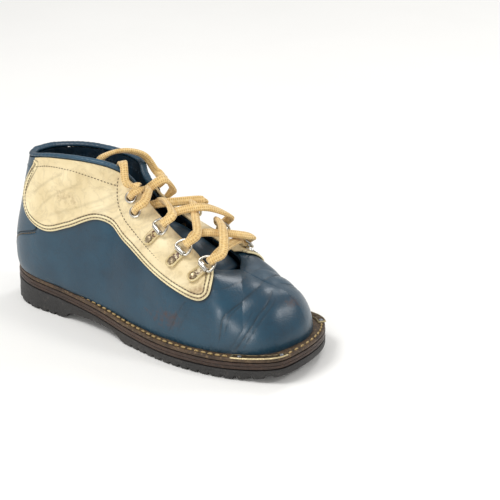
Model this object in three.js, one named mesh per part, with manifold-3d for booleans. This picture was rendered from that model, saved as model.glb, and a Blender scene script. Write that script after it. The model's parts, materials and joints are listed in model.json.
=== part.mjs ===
// Right shoe of a pair of lace-up leather touring ski boots, in millimetres.
// +X points to the toe, +Y to the medial side, +Z up; the tread stands on z = 0.
import * as THREE from 'three';
import { mergeVertices } from 'three/addons/utils/BufferGeometryUtils.js';
import Module from 'manifold-3d';

const wasm = await Module();
wasm.setup();

const LATERAL = -1;
const MEDIAL = 1;
const GAP = 0.3;

// Sole stack, measured up from the floor
const weltThickness = 2.9;
const midsoleThickness = 5.4;
const treadPitch = 8;
const treadDepth = 1.8;
const toothShare = 0.65;
const insoleThickness = 3;
const sockThickness = 1.2;
const shankWidth = 15;

// Leather layers, as distances out from the last
const liningInner = -2;
const liningOuter = -0.8;
const stiffenerInner = -0.3;
const stiffenerOuter = -0.05;
const leatherInner = 1.3;
const leatherOuter = 2.7;
const overlapRise = 2.1;
const overlapWidth = 10;

// Lacing hardware
const eyeletBore = 2.9;
const eyeletFlange = 4.7;
const ringWire = 1.0;
const ringHalfWidth = 7.2;
const ringReach = 11;
const clipHalfWidth = 4.4;
const clipThickness = 1.1;
const laceRadius = 1.9;
const laceRoom = 0.9;

// ---- curves ---------------------------------------------------------------

// A smooth curve y(x) through points, level beyond its ends.
function profile(points) {
  const slope = points.map((point, i) => {
    const a = points[Math.max(i - 1, 0)];
    const b = points[Math.min(i + 1, points.length - 1)];
    return (b[1] - a[1]) / (b[0] - a[0]);
  });
  return (x) => {
    let i = 0;
    while (i < points.length - 2 && x > points[i + 1][0]) i += 1;
    const width = points[i + 1][0] - points[i][0];
    const s = THREE.MathUtils.clamp((x - points[i][0]) / width, 0, 1);
    const keep = 2 * s ** 3 - 3 * s ** 2 + 1;
    const leave = s ** 3 - 2 * s ** 2 + s;
    const arrive = s ** 3 - s ** 2;
    return keep * points[i][1] + (1 - keep) * points[i + 1][1]
      + width * (leave * slope[i] + arrive * slope[i + 1]);
  };
}

// A closed plan outline: heel, lateral side forwards, toe, medial side back.
function planLine(lateral, toe, medial, heel) {
  const points = [heel, ...lateral, toe, ...[...medial].reverse()];
  const loop = new THREE.CatmullRomCurve3(
    points.map(([x, y]) => new THREE.Vector3(x, y, 0)), true, 'catmullrom', 0.5);
  const toeAt = (lateral.length + 1) / points.length;
  // v runs 0 at the heel to 1 at the toe along one side; inset moves the point inwards.
  return (side, v, inset = 0) => {
    const at = side === LATERAL ? v * toeAt : 1 - v * (1 - toeAt);
    const point = loop.getPoint(at % 1);
    const tangent = loop.getTangent(at % 1);
    return new THREE.Vector2(point.x - tangent.y * inset, point.y + tangent.x * inset);
  };
}

const soleLine = planLine(
  [[-142, -19], [-120, -31.5], [-84, -34.5], [-46, -39], [-8, -48.5], [30, -55.5], [68, -54.5],
    [99, -46.5], [120, -37], [126.5, -17]],
  [127, 3],
  [[-142, 19], [-120, 30.5], [-84, 32], [-46, 32], [-8, 36], [30, 43], [68, 48.5],
    [95, 47.5], [112, 38], [122.5, 21]],
  [-149, 0]);

const featherLine = planLine(
  [[-136, -18], [-117, -28], [-84, -30], [-46, -33], [-10, -40], [25, -45.5], [60, -45.5],
    [88, -39.5], [106, -29], [114, -13]],
  [116, 2],
  [[-136, 18], [-117, 27], [-84, 27.5], [-46, 26.5], [-10, 30], [25, 36], [60, 41],
    [85, 39.5], [101, 30.5], [111.5, 17]],
  [-142.5, 0]);

// Heights along the shoe: top of the midsole and underside of the tread
const midsoleTop = profile([[-150, 26], [-115, 24], [-70, 20], [-30, 15.8], [10, 13.4],
  [60, 13.4], [95, 14.8], [115, 17.6], [130, 21]]);
const treadShape = profile([[-150, 1.6], [-142, 0], [-86, 0], [-79, 5], [-55, 6.5], [-30, 5],
  [-16, 0], [80, 0], [95, 1.4], [112, 4.4], [128, 8.4]]);
const treadBottom = (x) => Math.max(treadShape(x), 0);
const featherHeight = (x) => midsoleTop(x) + weltThickness + 4 * GAP;

// ---- closed bodies from grids -----------------------------------------------

function geometryFrom(positions, triangles) {
  const geometry = new THREE.BufferGeometry();
  geometry.setAttribute('position', new THREE.Float32BufferAttribute(positions, 3));
  geometry.setIndex(triangles);
  return geometry;
}

// A body lofted through rings of points, closed by a flat fan at each end
// or, when it is a loop, joined from the last ring to the first.
function loft(rings, isLoop = false) {
  const size = rings[0].length;
  const triangles = [];
  const ringCount = isLoop ? rings.length : rings.length - 1;
  for (let i = 0; i < ringCount; i += 1) {
    const next = (i + 1) % rings.length;
    for (let j = 0; j < size; j += 1) {
      const k = (j + 1) % size;
      const [a, b, c, d] = [i * size + j, i * size + k, next * size + k, next * size + j];
      triangles.push(a, b, c, a, c, d);
    }
  }
  if (!isLoop) {
    const last = (rings.length - 1) * size;
    for (let j = 1; j < size - 1; j += 1) {
      triangles.push(0, j + 1, j);
      triangles.push(last, last + j, last + j + 1);
    }
  }
  const positions = rings.flat().flatMap((point) => [point.x, point.y, point.z]);
  return facingOut(geometryFrom(positions, triangles));
}

// Turns a closed body's faces outwards when its signed volume comes out negative.
function facingOut(geometry) {
  const at = geometry.getAttribute('position');
  const index = Array.from(geometry.getIndex().array);
  const [a, b, c] = [new THREE.Vector3(), new THREE.Vector3(), new THREE.Vector3()];
  let volume = 0;
  for (let i = 0; i < index.length; i += 3) {
    a.fromBufferAttribute(at, index[i]);
    b.fromBufferAttribute(at, index[i + 1]);
    c.fromBufferAttribute(at, index[i + 2]);
    volume += a.dot(b.cross(c));
  }
  if (volume < 0) {
    for (let i = 0; i < index.length; i += 3) {
      [index[i + 1], index[i + 2]] = [index[i + 2], index[i + 1]];
    }
    geometry.setIndex(index);
  }
  return geometry;
}

// Two triangles for four points in turn, split along the shorter diagonal
function splitQuad([a, b, c, d], points) {
  const isFirstShorter = points[a].distanceTo(points[c]) < points[b].distanceTo(points[d]);
  return isFirstShorter ? [[a, b, c], [a, c, d]] : [[a, b, d], [b, c, d]];
}

// A sheet of leather: patches are grids of { inner, outer } points. Points that
// coincide are joined, and a wall closes every free edge.
function sheet(patches) {
  const ids = new Map();
  const outer = [];
  const inner = [];
  const vertex = ({ inner: low, outer: high }) => {
    const key = high.toArray().map((value) => Math.round(value * 200)).join();
    if (!ids.has(key)) {
      ids.set(key, outer.length);
      outer.push(high);
      inner.push(low);
    }
    return ids.get(key);
  };
  const faces = [];
  for (const { rows, isFlipped } of patches) {
    for (let i = 0; i < rows.length - 1; i += 1) {
      for (let j = 0; j < rows[i].length - 1; j += 1) {
        const quad = [rows[i][j], rows[i + 1][j], rows[i + 1][j + 1], rows[i][j + 1]].map(vertex);
        if (isFlipped) quad.reverse();
        faces.push(...splitQuad(quad, outer).filter((face) => new Set(face).size === 3));
      }
    }
  }
  const edges = new Set(faces.flatMap(([a, b, c]) => [`${a},${b}`, `${b},${c}`, `${c},${a}`]));
  const count = outer.length;
  const triangles = faces.flatMap(([a, b, c]) => [a, b, c, count + a, count + c, count + b]);
  for (const edge of edges) {
    const [a, b] = edge.split(',').map(Number);
    if (!edges.has(`${b},${a}`)) triangles.push(b, a, count + a, b, count + a, count + b);
  }
  const positions = [...outer, ...inner].flatMap((point) => point.toArray());
  return facingOut(geometryFrom(positions, triangles));
}

function toManifold(geometry) {
  const bare = geometry.clone();
  bare.deleteAttribute('normal');
  bare.deleteAttribute('uv');
  const welded = mergeVertices(bare, 1e-4);
  return new wasm.Manifold(new wasm.Mesh({
    numProp: 3,
    vertProperties: new Float32Array(welded.getAttribute('position').array),
    triVerts: new Uint32Array(welded.getIndex().array),
  }));
}

// Cuts closed tool bodies out of a body.
function cut(geometry, tools) {
  let solid = toManifold(geometry);
  for (const tool of tools) solid = solid.subtract(toManifold(tool));
  const mesh = solid.getMesh();
  return geometryFrom(Array.from(mesh.vertProperties), Array.from(mesh.triVerts));
}

// ---- the last: the surface that the upper is pulled over -----------------------

// The rim of the upper on each side: heel, collar, facing, middle of the throat
const rimPoints = {
  [LATERAL]: [[-133, 0, 121], [-125, -14, 122], [-98, -21.5, 129], [-66, -21.5, 132],
    [-44, -16.5, 129], [-33, -10, 119], [-16, -9, 101], [5, -13, 88], [27, -16.5, 77],
    [48, -20, 67], [60, 0, 61.5]],
  [MEDIAL]: [[-133, 0, 121], [-125, 14, 122], [-98, 21.5, 125], [-66, 21.5, 125.5],
    [-44, 16.5, 124], [-33, 10, 116], [-16, 9, 100], [5, 13, 86.5], [27, 15, 75.5],
    [48, 17, 65], [60, 0, 61.5]],
};
const openCurve = (points) => new THREE.CatmullRomCurve3(
  points.map((point) => new THREE.Vector3(...point)), false, 'catmullrom', 0.5);
const rimLine = {
  [LATERAL]: openCurve(rimPoints[LATERAL]),
  [MEDIAL]: openCurve(rimPoints[MEDIAL]),
};
// The ridge of the vamp, from the throat forwards over the toe
const ridgeLine = openCurve([[60, 0, 61.5], [72, 0, 58.6], [82, 0, 56], [91, 0, 54.6]]);

// Where along the rim the rib from each place on the feather line ends
const rimAt = profile([[0, 0], [0.09, 0.1], [0.36, 0.449], [0.45, 0.54], [0.65, 0.868], [0.73, 1]]);
const throatU = 0.73;

const topPoint = (side, u) => (u <= throatU
  ? rimLine[side].getPoint(rimAt(u))
  : ridgeLine.getPoint((u - throatU) / (1 - throatU)));

const heelBulge = profile([[0, 6.8], [0.12, 5.2], [0.3, 2.8], [0.5, 0], [1, 0]]);

// A point on the last: u runs heel to toe, t from the feather line to the top line.
function lastPoint(side, u, t) {
  const foot = featherLine(side, u);
  const low = featherHeight(foot.x);
  const top = topPoint(side, u);
  const archShare = THREE.MathUtils.smoothstep(u, 0.3, 0.62);
  const angle = t * Math.PI / 2;
  const rise = THREE.MathUtils.lerp(t, Math.sin(angle), archShare);
  const lean = THREE.MathUtils.lerp(1 - t, Math.max(Math.cos(angle), 0) ** 0.93, archShare);
  const bulge = heelBulge(u) * Math.sin(Math.PI * t ** 0.55);
  const outwards = featherLine(side, u, -1).sub(foot);
  return new THREE.Vector3(
    top.x + (foot.x - top.x) * lean + outwards.x * bulge,
    top.y + (foot.y - top.y) * lean + outwards.y * bulge,
    low + (top.z - low) * rise);
}

function lastNormal(side, u, t) {
  const step = 0.004;
  const [u0, u1] = [Math.max(u - step, 0), Math.min(u + step, 1)];
  const [t0, t1] = [Math.max(Math.min(t, 0.996) - step, 0), Math.min(t + step, 0.996)];
  const up = lastPoint(side, u, t1).sub(lastPoint(side, u, t0));
  // The leather meets the welt square to it.
  const footing = THREE.MathUtils.smoothstep(t, -0.02, 0.15);
  if (u < 0.001) return new THREE.Vector3(-up.z, 0, up.x * footing).normalize();
  if (u > 0.999) return new THREE.Vector3(up.z, 0, -up.x * footing).normalize();
  const level = Math.min(t, 0.99);
  if (t > 0.999 && u > throatU - 0.001) {
    const ridge = topPoint(side, u1).sub(topPoint(side, Math.max(u0, throatU)));
    return new THREE.Vector3(-ridge.z, 0, ridge.x).normalize();
  }
  const along = lastPoint(side, u1, level).sub(lastPoint(side, u0, level));
  const normal = along.cross(up).multiplyScalar(-side).normalize();
  return normal.setZ(normal.z * footing).normalize();
}

function offPoint(side, u, t, distance) {
  return lastPoint(side, u, t).addScaledVector(lastNormal(side, u, t), distance);
}

// A patch of leather on the last between two layers, over a grid of (u, t).
function patch(side, count, rowCount, place, low, high) {
  const rows = [];
  for (let i = 0; i <= count; i += 1) {
    const row = [];
    for (let j = 0; j <= rowCount; j += 1) {
      const { u, t, lift = 0 } = place(i / count, j / rowCount);
      row.push({ inner: offPoint(side, u, t, low + lift), outer: offPoint(side, u, t, high + lift) });
    }
    rows.push(row);
  }
  return { rows, isFlipped: side === MEDIAL };
}

const layer = (side, columns, rowCount, place) => (
  patch(side, columns, rowCount, place, leatherInner, leatherOuter));

// ---- borders between the leathers, on the last's (u, t) ---------------------------

// Each border point is (u, t) and, third, the u where its rib reaches the top line.
const borderPoints = [[0.12, 0.95, 0.126], [0.102, 0.8, 0.156], [0.105, 0.64, 0.186],
  [0.14, 0.49, 0.212], [0.2, 0.42, 0.24], [0.25, 0.49, 0.27], [0.31, 0.61, 0.313],
  [0.37, 0.6, 0.36], [0.43, 0.51, 0.415], [0.5, 0.44, 0.48], [0.57, 0.395, 0.545],
  [0.62, 0.405, 0.59], [0.649, 0.52, 0.62], [0.66, 0.7, 0.64], [0.665, 0.88, 0.655]];
const panelBorder = openCurve(borderPoints);
const lobeAt = 3.6 / (borderPoints.length - 1);

// A place on an ankle panel: a runs along its lower border, b from there to the top line.
function panelPlace(a, b) {
  const point = panelBorder.getPoint(a);
  return {
    u: THREE.MathUtils.lerp(point.x, point.z, b),
    t: THREE.MathUtils.lerp(point.y, 1, b),
  };
}

// How far the panel's border is lifted over the leathers under it
const underlap = 3.5;
function panelLift(side, a, b) {
  const start = panelPlace(a, 0);
  const end = panelPlace(a, 1);
  const height = lastPoint(side, start.u, start.t).distanceTo(lastPoint(side, end.u, end.t));
  const fade = THREE.MathUtils.smoothstep(b * height, underlap + 2.5, underlap + overlapWidth);
  return overlapRise * (1 - fade);
}

function underPanel(side, a) {
  const start = panelPlace(a, 0);
  const end = panelPlace(a, 1);
  const height = lastPoint(side, start.u, start.t).distanceTo(lastPoint(side, end.u, end.t));
  return panelPlace(a, Math.min(underlap / height, 0.7));
}

// The seam between the backstay and the quarters, as u at height t
const seamGap = 0.005;
const backSeam = profile([[0, 0.045], [0.12, 0.05], [0.22, 0.064], [0.33, 0.11], [0.4, 0.17],
  [0.47, 0.155], [0.54, 0.128], [0.68, 0.109], [0.85, 0.108], [0.93, 0.11], [1, 0.122]]);
// The quarters' corners on that seam lie level with ribs of the backstay.
const backstayRows = 24;
const seamFoot = 2 / backstayRows;
const seamTop = 10 / backstayRows;

// The waist seam on the medial side, between the quarter and the vamp, as a share of the quarter
const waistSeamAt = 0.61;

// Where the quarter's first ribs and the rib from the front of its border stand on the feather line
const quarterFoot = 0.15;
const throatFoot = 0.7;

// ---- leathers ---------------------------------------------------------------------

// Quarter columns: from the back seam, then along under the panel to the throat.
function quarterPlace(side, a, j) {
  const seamShare = 0.2;
  let top;
  let base;
  if (a < seamShare) {
    const t = THREE.MathUtils.lerp(seamFoot, seamTop, a / seamShare);
    top = { u: backSeam(t) + seamGap, t };
    base = THREE.MathUtils.lerp(0.047, quarterFoot, a / seamShare);
  } else {
    const along = (a - seamShare) / (1 - seamShare);
    const point = underPanel(side, THREE.MathUtils.lerp(lobeAt, 1, along));
    const start = { u: backSeam(seamTop) + seamGap, t: seamTop };
    const ease = THREE.MathUtils.smoothstep(along, 0, 0.06);
    top = {
      u: THREE.MathUtils.lerp(start.u, point.u, ease),
      t: THREE.MathUtils.lerp(start.t, point.t, ease),
    };
    base = THREE.MathUtils.lerp(quarterFoot, throatFoot, along);
  }
  return { u: THREE.MathUtils.lerp(base, top.u, j), t: top.t * j };
}

// Vamp columns between the facing's front end and the middle of the throat
function throatPlace(side, i, j) {
  const start = quarterPlace(side, 1, 1);
  const top = { u: THREE.MathUtils.lerp(start.u, throatU, i), t: Math.min(start.t + i * 3, 1) };
  const base = THREE.MathUtils.lerp(throatFoot, throatU, i);
  return { u: THREE.MathUtils.lerp(base, top.u, j), t: top.t * j };
}

const toePlace = (i, j) => ({ u: THREE.MathUtils.lerp(throatU, 1, i), t: j });

const rowCount = 6;
function vamp() {
  const medialStart = waistSeamAt;
  return sheet([
    layer(LATERAL, 40, rowCount, (i, j) => quarterPlace(LATERAL, i, j)),
    layer(LATERAL, 3, rowCount, (i, j) => throatPlace(LATERAL, i, j)),
    layer(LATERAL, 9, rowCount, toePlace),
    layer(MEDIAL, 9, rowCount, toePlace),
    layer(MEDIAL, 3, rowCount, (i, j) => throatPlace(MEDIAL, i, j)),
    layer(MEDIAL, 12, rowCount, (i, j) => (
      quarterPlace(MEDIAL, THREE.MathUtils.lerp(medialStart, 1, i), j))),
  ]);
}

function medialQuarter() {
  return sheet([layer(MEDIAL, 24, rowCount, (i, j) => (
    quarterPlace(MEDIAL, (waistSeamAt - 2 * seamGap) * i, j)))]);
}

function backstay() {
  const place = (i, j) => ({ u: backSeam(j) * i, t: j });
  return sheet([layer(LATERAL, 8, backstayRows, place), layer(MEDIAL, 8, backstayRows, place)]);
}

function anklePanel(side) {
  return sheet([layer(side, 28, 6, (a, b) => ({ ...panelPlace(a, b), lift: panelLift(side, a, b) }))]);
}

// The lining covers the whole inside, up to the top line and the throat.
function lining() {
  const sides = [LATERAL, MEDIAL].flatMap((side) => [
    patch(side, 22, rowCount, (i, j) => ({ u: throatU * i, t: j }), liningInner, liningOuter),
    patch(side, 8, rowCount, toePlace, liningInner, liningOuter),
  ]);
  return sheet(sides);
}

// Stiffeners between the lining and the leather, at the heel and at the toe
const counterHeight = profile([[0, 0.55], [0.1, 0.5], [0.26, 0.2]]);
const puffStart = 0.8;
const puffHeight = 0.72;
function stiffener(place) {
  return sheet([LATERAL, MEDIAL].map((side) => (
    patch(side, 11, 4, place, stiffenerInner, stiffenerOuter))));
}

const heelCounter = () => stiffener((i, j) => ({ u: 0.26 * i, t: counterHeight(0.26 * i) * j }));
const toePuff = () => stiffener((i, j) => ({
  u: THREE.MathUtils.lerp(puffStart, 1, i),
  t: puffHeight * Math.sqrt(Math.max(i, 0.16)) * j,
}));

// The tongue lies inside the lining and bridges the opening between the facings.
const tongueFrom = 0.695;
const tongueTo = 0.425;
const tongueDepth = profile([[0, 5.2], [0.5, 5.2], [0.74, 10.6], [1, 10.6]]);
const tongueThickness = 2;
const tongueWing = profile([[0, 6.5], [0.5, 4.8], [1, 4]]);
const tongueCrown = 0.16;

// A point on the tongue's top: s runs up the throat, share from -1 to 1 across it.
function tonguePoint(s, share) {
  const step = 0.01;
  const u = THREE.MathUtils.lerp(tongueFrom, tongueTo, s);
  const left = topPoint(LATERAL, u);
  const right = topPoint(MEDIAL, u);
  const width = left.distanceTo(right);
  const across = right.clone().sub(left).normalize();
  const up = topPoint(LATERAL, u - step).add(topPoint(MEDIAL, u - step))
    .sub(topPoint(LATERAL, u + step)).sub(topPoint(MEDIAL, u + step));
  const out = across.clone().cross(up).normalize();
  const half = width / 2 + tongueWing(s);
  // The arch crosses the facings' edges at the tongue's depth.
  const arch = tongueCrown * width * (1 - (2 * share * half / width) ** 2);
  return left.lerp(right, 0.5)
    .addScaledVector(across, share * half)
    .addScaledVector(out, arch - tongueDepth(s));
}

function tongue() {
  const shares = [-1, -0.72, -0.45, -0.22, 0, 0.22, 0.45, 0.72, 1];
  const count = 14;
  const grid = Array.from({ length: count + 1 }, (_, i) => (
    shares.map((share) => tonguePoint(i / count, share))));
  // The underside lies square below the top, at the leather's thickness.
  const below = (i, k) => {
    const along = grid[Math.min(i + 1, count)][k].clone().sub(grid[Math.max(i - 1, 0)][k]);
    const [left, right] = [grid[i][Math.max(k - 1, 0)], grid[i][Math.min(k + 1, shares.length - 1)]];
    const down = along.cross(right.clone().sub(left)).normalize();
    return grid[i][k].clone().addScaledVector(down, tongueThickness);
  };
  const rows = grid.map((row, i) => row.map((outer, k) => ({ outer, inner: below(i, k) })));
  return sheet([{ rows, isFlipped: false }]);
}

// Piping folded over the collar and down both facings to the second eyelets
const pipingEnd = 0.455;
const pipingHalfWidth = 1.9;
function collarBinding() {
  const rings = [];
  const count = 22;
  for (let i = -count; i <= count; i += 1) {
    const side = i < 0 ? LATERAL : MEDIAL;
    const u = pipingEnd * Math.abs(i) / count;
    const edge = offPoint(side, u, 1, (liningInner + leatherOuter) / 2);
    const out = lastNormal(side, u, 1);
    const up = edge.clone().sub(offPoint(side, u, 0.96, 0.25)).normalize();
    const middle = edge.clone().addScaledVector(up, pipingHalfWidth + GAP);
    rings.push(Array.from({ length: 6 }, (_, k) => {
      const angle = k * Math.PI / 3 + Math.PI / 6;
      return middle.clone()
        .addScaledVector(out, (pipingHalfWidth + 0.7) * Math.cos(angle))
        .addScaledVector(up, pipingHalfWidth * Math.sin(angle));
    }));
  }
  return loft(rings);
}

// ---- sole -----------------------------------------------------------------------------

// A slab between two plan lines, its ends squared off a little short of the midline.
function slab(line, inset, from, to, count, low, high) {
  const rings = [];
  for (let i = 0; i <= count; i += 1) {
    const v = THREE.MathUtils.lerp(from, to, 0.5 - 0.5 * Math.cos(Math.PI * i / count));
    const left = line(LATERAL, v, inset);
    const right = line(MEDIAL, v, inset);
    const middle = left.clone().lerp(right, 0.5);
    const corner = (point, height) => new THREE.Vector3(point.x, point.y, height(point.x));
    rings.push([
      corner(left, low), corner(middle, low), corner(right, low),
      corner(right, high), corner(middle, high), corner(left, high)]);
  }
  return loft(rings);
}

const endShare = 0.006;
const raised = (height, amount) => (x) => height(x) + amount;
const outsoleTop = raised(midsoleTop, -midsoleThickness - 2 * GAP);

// Tread grooves run straight across the heel and the forepart.
const treadBlocks = [[-140, -90], [-11, 103]];
function outsole() {
  const edge = 1.2;
  const rings = [];
  const stations = treadStations();
  for (const { v, depth } of stations) {
    const left = soleLine(LATERAL, v);
    const right = soleLine(MEDIAL, v);
    const insetLeft = soleLine(LATERAL, v, edge);
    const insetRight = soleLine(MEDIAL, v, edge);
    const low = (point, lift) => new THREE.Vector3(point.x, point.y, treadBottom(point.x) + lift);
    const high = (point) => new THREE.Vector3(point.x, point.y, outsoleTop(point.x));
    rings.push([low(insetLeft, depth), low(insetRight, depth), low(right, edge + depth),
      high(right), high(left), low(left, edge + depth)]);
  }
  return loft(rings);
}

// The place along the sole whose middle lies at x
function soleAt(x) {
  let [low, high] = [0, 1];
  for (let i = 0; i < 30; i += 1) {
    const v = (low + high) / 2;
    const middle = (soleLine(LATERAL, v).x + soleLine(MEDIAL, v).x) / 2;
    if (middle < x) low = v;
    else high = v;
  }
  return low;
}

// Stations of the tread: plain ones, and four at each groove's walls
function treadStations() {
  const stations = [];
  const plain = 8;
  const wall = 0.4;
  for (let i = 0; i <= plain; i += 1) stations.push({ v: endShare + 0.002 * i ** 2, depth: 0 });
  for (const [from, to] of treadBlocks) {
    const rest = stations.at(-1).v;
    const gap = soleAt(from) - rest;
    for (let i = 1; i < 6; i += 1) {
      if (gap > 0.03) stations.push({ v: rest + gap * i / 6, depth: 0 });
    }
    for (let x = from; x + treadPitch < to; x += treadPitch) {
      const groove = x + treadPitch * toothShare;
      const end = x + treadPitch;
      stations.push({ v: soleAt(x + wall), depth: 0 });
      stations.push({ v: soleAt(groove), depth: 0 });
      stations.push({ v: soleAt(groove + wall), depth: treadDepth });
      stations.push({ v: soleAt(end - wall), depth: treadDepth });
    }
  }
  const last = stations.at(-1).v;
  for (let i = 1; i <= plain; i += 1) {
    const share = Math.sqrt(i / plain);
    stations.push({ v: THREE.MathUtils.lerp(last, 1 - endShare, share), depth: 0 });
  }
  return stations;
}

const midsole = () => slab(soleLine, 0.2, endShare, 1 - endShare, 40,
  raised(midsoleTop, -midsoleThickness), raised(midsoleTop, 0));

// The welt is a strip all round, from just under the upper to the sole's edge.
const weltInnerInset = 5;
function welt() {
  const rings = [];
  const count = 34;
  const station = (side, v) => {
    const out = soleLine(side, v, 0.4);
    const inside = featherLine(side, v, weltInnerInset);
    const low = (point) => new THREE.Vector3(point.x, point.y, midsoleTop(point.x) + GAP);
    const lift = new THREE.Vector3(0, 0, weltThickness);
    rings.push([low(out), low(out).add(lift), low(inside).add(lift), low(inside)]);
  };
  for (let i = 0; i < count; i += 1) station(LATERAL, i / count);
  for (let i = count; i > 0; i -= 1) station(MEDIAL, i / count);
  return loft(rings, true);
}

const fillerInset = weltInnerInset + 0.8;
const shankFrom = 0.27;
const shankTo = 0.52;
const fillerLow = raised(midsoleTop, GAP);
const fillerHigh = raised(midsoleTop, weltThickness);
const heelFiller = () => slab(featherLine, fillerInset, 0.03, shankFrom - 0.012, 16, fillerLow, fillerHigh);
const foreFiller = () => slab(featherLine, fillerInset, shankTo + 0.012, 0.975, 20, fillerLow, fillerHigh);

function shank() {
  const rings = [];
  const count = 12;
  for (let i = 0; i <= count; i += 1) {
    const v = THREE.MathUtils.lerp(shankFrom, shankTo, i / count);
    const { x, y } = featherLine(LATERAL, v).lerp(featherLine(MEDIAL, v), 0.5);
    const half = shankWidth / 2;
    const corner = (dy, height) => new THREE.Vector3(x, y + dy, height(x));
    rings.push([corner(-half, fillerLow), corner(half, fillerLow),
      corner(half, fillerHigh), corner(-half, fillerHigh)]);
  }
  return loft(rings);
}

const insoleLow = raised(midsoleTop, weltThickness + 2 * GAP);
const insoleHigh = raised(insoleLow, insoleThickness);
const insole = () => slab(featherLine, 3.4, 0.012, 0.988, 30, insoleLow, insoleHigh);
const sockLiner = () => slab(featherLine, 4, 0.016, 0.984, 30,
  raised(insoleHigh, GAP), raised(insoleHigh, GAP + sockThickness));

// Brass wear plates on the welt where a binding's toe irons grip
const plateFrom = 0.68;
const plateTo = 0.845;
const plateThickness = 0.9;
const plateWidth = 5.6;
function sidePlate(side) {
  const rings = [];
  const count = 16;
  for (let i = 0; i <= count; i += 1) {
    const v = THREE.MathUtils.lerp(plateFrom, plateTo, i / count);
    const out = soleLine(side, v, -0.5);
    const inside = soleLine(side, v, plateWidth);
    const top = (point) => new THREE.Vector3(point.x, point.y,
      midsoleTop(point.x) + weltThickness + 2 * GAP);
    const lift = new THREE.Vector3(0, 0, plateThickness);
    rings.push([top(inside), top(out), top(out).add(lift), top(inside).add(lift)]);
  }
  return loft(rings);
}

// ---- lacing hardware --------------------------------------------------------------

// Places of the hardware on each side, from the collar down, as (u, t)
const eyeletPlaces = [[0.43, 0.87], [0.45, 0.78]];
const ringPlaces = [[0.508, 0.715], [0.569, 0.675], [0.622, 0.68]];

// The frame of a piece of hardware: x towards the facing's edge, z out of the leather.
function hardwareFrame(side, [u, t]) {
  const z = lastNormal(side, u, t);
  const along = topPoint(side, u + 0.01).sub(topPoint(side, u - 0.01));
  const y = along.addScaledVector(z, -along.dot(z)).normalize().multiplyScalar(side);
  const x = new THREE.Vector3().crossVectors(y, z);
  const matrix = new THREE.Matrix4().makeBasis(x, y, z);
  return matrix.setPosition(offPoint(side, u, t, leatherOuter));
}

// A turned piece whose axis is the frame's z; profile points are (radius, height).
function turned(points, segments) {
  const outline = points.map(([radius, height]) => new THREE.Vector2(radius, height));
  return facingOut(new THREE.LatheGeometry(outline, segments).rotateX(Math.PI / 2));
}

// Everything between the eyelet's or rivet's heads: leather, gap and lining
const grip = leatherOuter - liningInner;
const seat = 0.5;

function eyelet() {
  const barrel = eyeletBore + 0.5;
  const head = seat + 0.8;
  const foot = -grip - 1.8;
  return turned([[eyeletBore, foot - 0.6], [eyeletBore, head - 0.3], [barrel, head],
    [eyeletFlange, seat + 0.2], [eyeletFlange, seat], [barrel, seat], [barrel, foot],
    [eyeletFlange - 0.5, foot],
    [eyeletFlange - 0.5, foot - 0.6], [eyeletBore, foot - 0.6]], 12);
}

const rivetShank = 1.4;
const rivetX = -3.2;
function rivet() {
  const head = seat + clipThickness + GAP;
  const foot = -grip - 1.8;
  return turned([[0, head + 1.1], [1.9, head + 0.7], [2.8, head], [rivetShank, head], [rivetShank, foot],
    [2.6, foot], [2.6, foot - 0.6], [0, foot - 0.6]], 8);
}

// A tool that makes room for an eyelet or a rivet
function drill(radius, matrix, from, to, offsetX = 0) {
  return new THREE.CylinderGeometry(radius, radius, to - from, 8)
    .rotateX(Math.PI / 2)
    .translate(offsetX, 0, (from + to) / 2)
    .applyMatrix4(matrix);
}

const pivotX = 6.4;
const pivotZ = 2.75;
const pivotBore = ringWire + 0.35;
const clipBack = -4.2;
const pivotWall = 0.9;

// The clip: a strap with a round end, curled at its front into an eye for the ring.
function clip() {
  const strap = new THREE.Shape();
  strap.moveTo(pivotX, -clipHalfWidth);
  strap.lineTo(pivotX, clipHalfWidth);
  strap.lineTo(clipBack, clipHalfWidth);
  strap.absarc(clipBack, 0, clipHalfWidth, Math.PI / 2, 3 * Math.PI / 2, false);
  const hole = new THREE.Path();
  hole.absarc(rivetX, 0, rivetShank + GAP, 0, 2 * Math.PI, true);
  strap.holes.push(hole);
  const flat = { depth: clipThickness, bevelEnabled: false, curveSegments: 6 };
  const plate = new THREE.ExtrudeGeometry(strap, flat).translate(0, 0, seat);
  const eye = new THREE.Shape();
  eye.absarc(0, 0, pivotBore + pivotWall, 0, 2 * Math.PI, false);
  const wide = { depth: 2 * clipHalfWidth, bevelEnabled: false, curveSegments: 6 };
  const barrel = new THREE.ExtrudeGeometry(eye, wide)
    .rotateX(Math.PI / 2)
    .translate(pivotX, clipHalfWidth, pivotZ);
  const bore = new THREE.CylinderGeometry(pivotBore, pivotBore, 3 * clipHalfWidth, 12)
    .translate(pivotX, 0, pivotZ);
  const joined = toManifold(plate).add(toManifold(barrel)).subtract(toManifold(bore)).getMesh();
  return geometryFrom(Array.from(joined.vertProperties), Array.from(joined.triVerts));
}

// The ring: a D of round wire whose straight side is the pivot, lying along the frame's x.
function ring() {
  const half = ringHalfWidth - ringWire;
  const reach = ringReach - ringWire;
  const path = new THREE.CatmullRomCurve3([[0, -4.8], [0, 0], [0, 4.8], [1.3, half], [4.6, half * 0.97],
    [reach * 0.82, half * 0.62], [reach, 0], [reach * 0.82, -half * 0.62], [4.6, -half * 0.97], [1.3, -half],
  ].map(([x, y]) => new THREE.Vector3(x, y, 0)), true, 'catmullrom', 0.5);
  const count = 20;
  const up = new THREE.Vector3(0, 0, 1);
  const rings = Array.from({ length: count }, (_, i) => {
    const middle = path.getPoint(i / count);
    const side = new THREE.Vector3().crossVectors(path.getTangent(i / count), up);
    return Array.from({ length: 6 }, (__, k) => middle.clone()
      .addScaledVector(side, ringWire * Math.cos(k * Math.PI / 3))
      .addScaledVector(up, ringWire * Math.sin(k * Math.PI / 3)));
  });
  return loft(rings, true);
}

// ---- lace ------------------------------------------------------------------------------------

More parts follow.
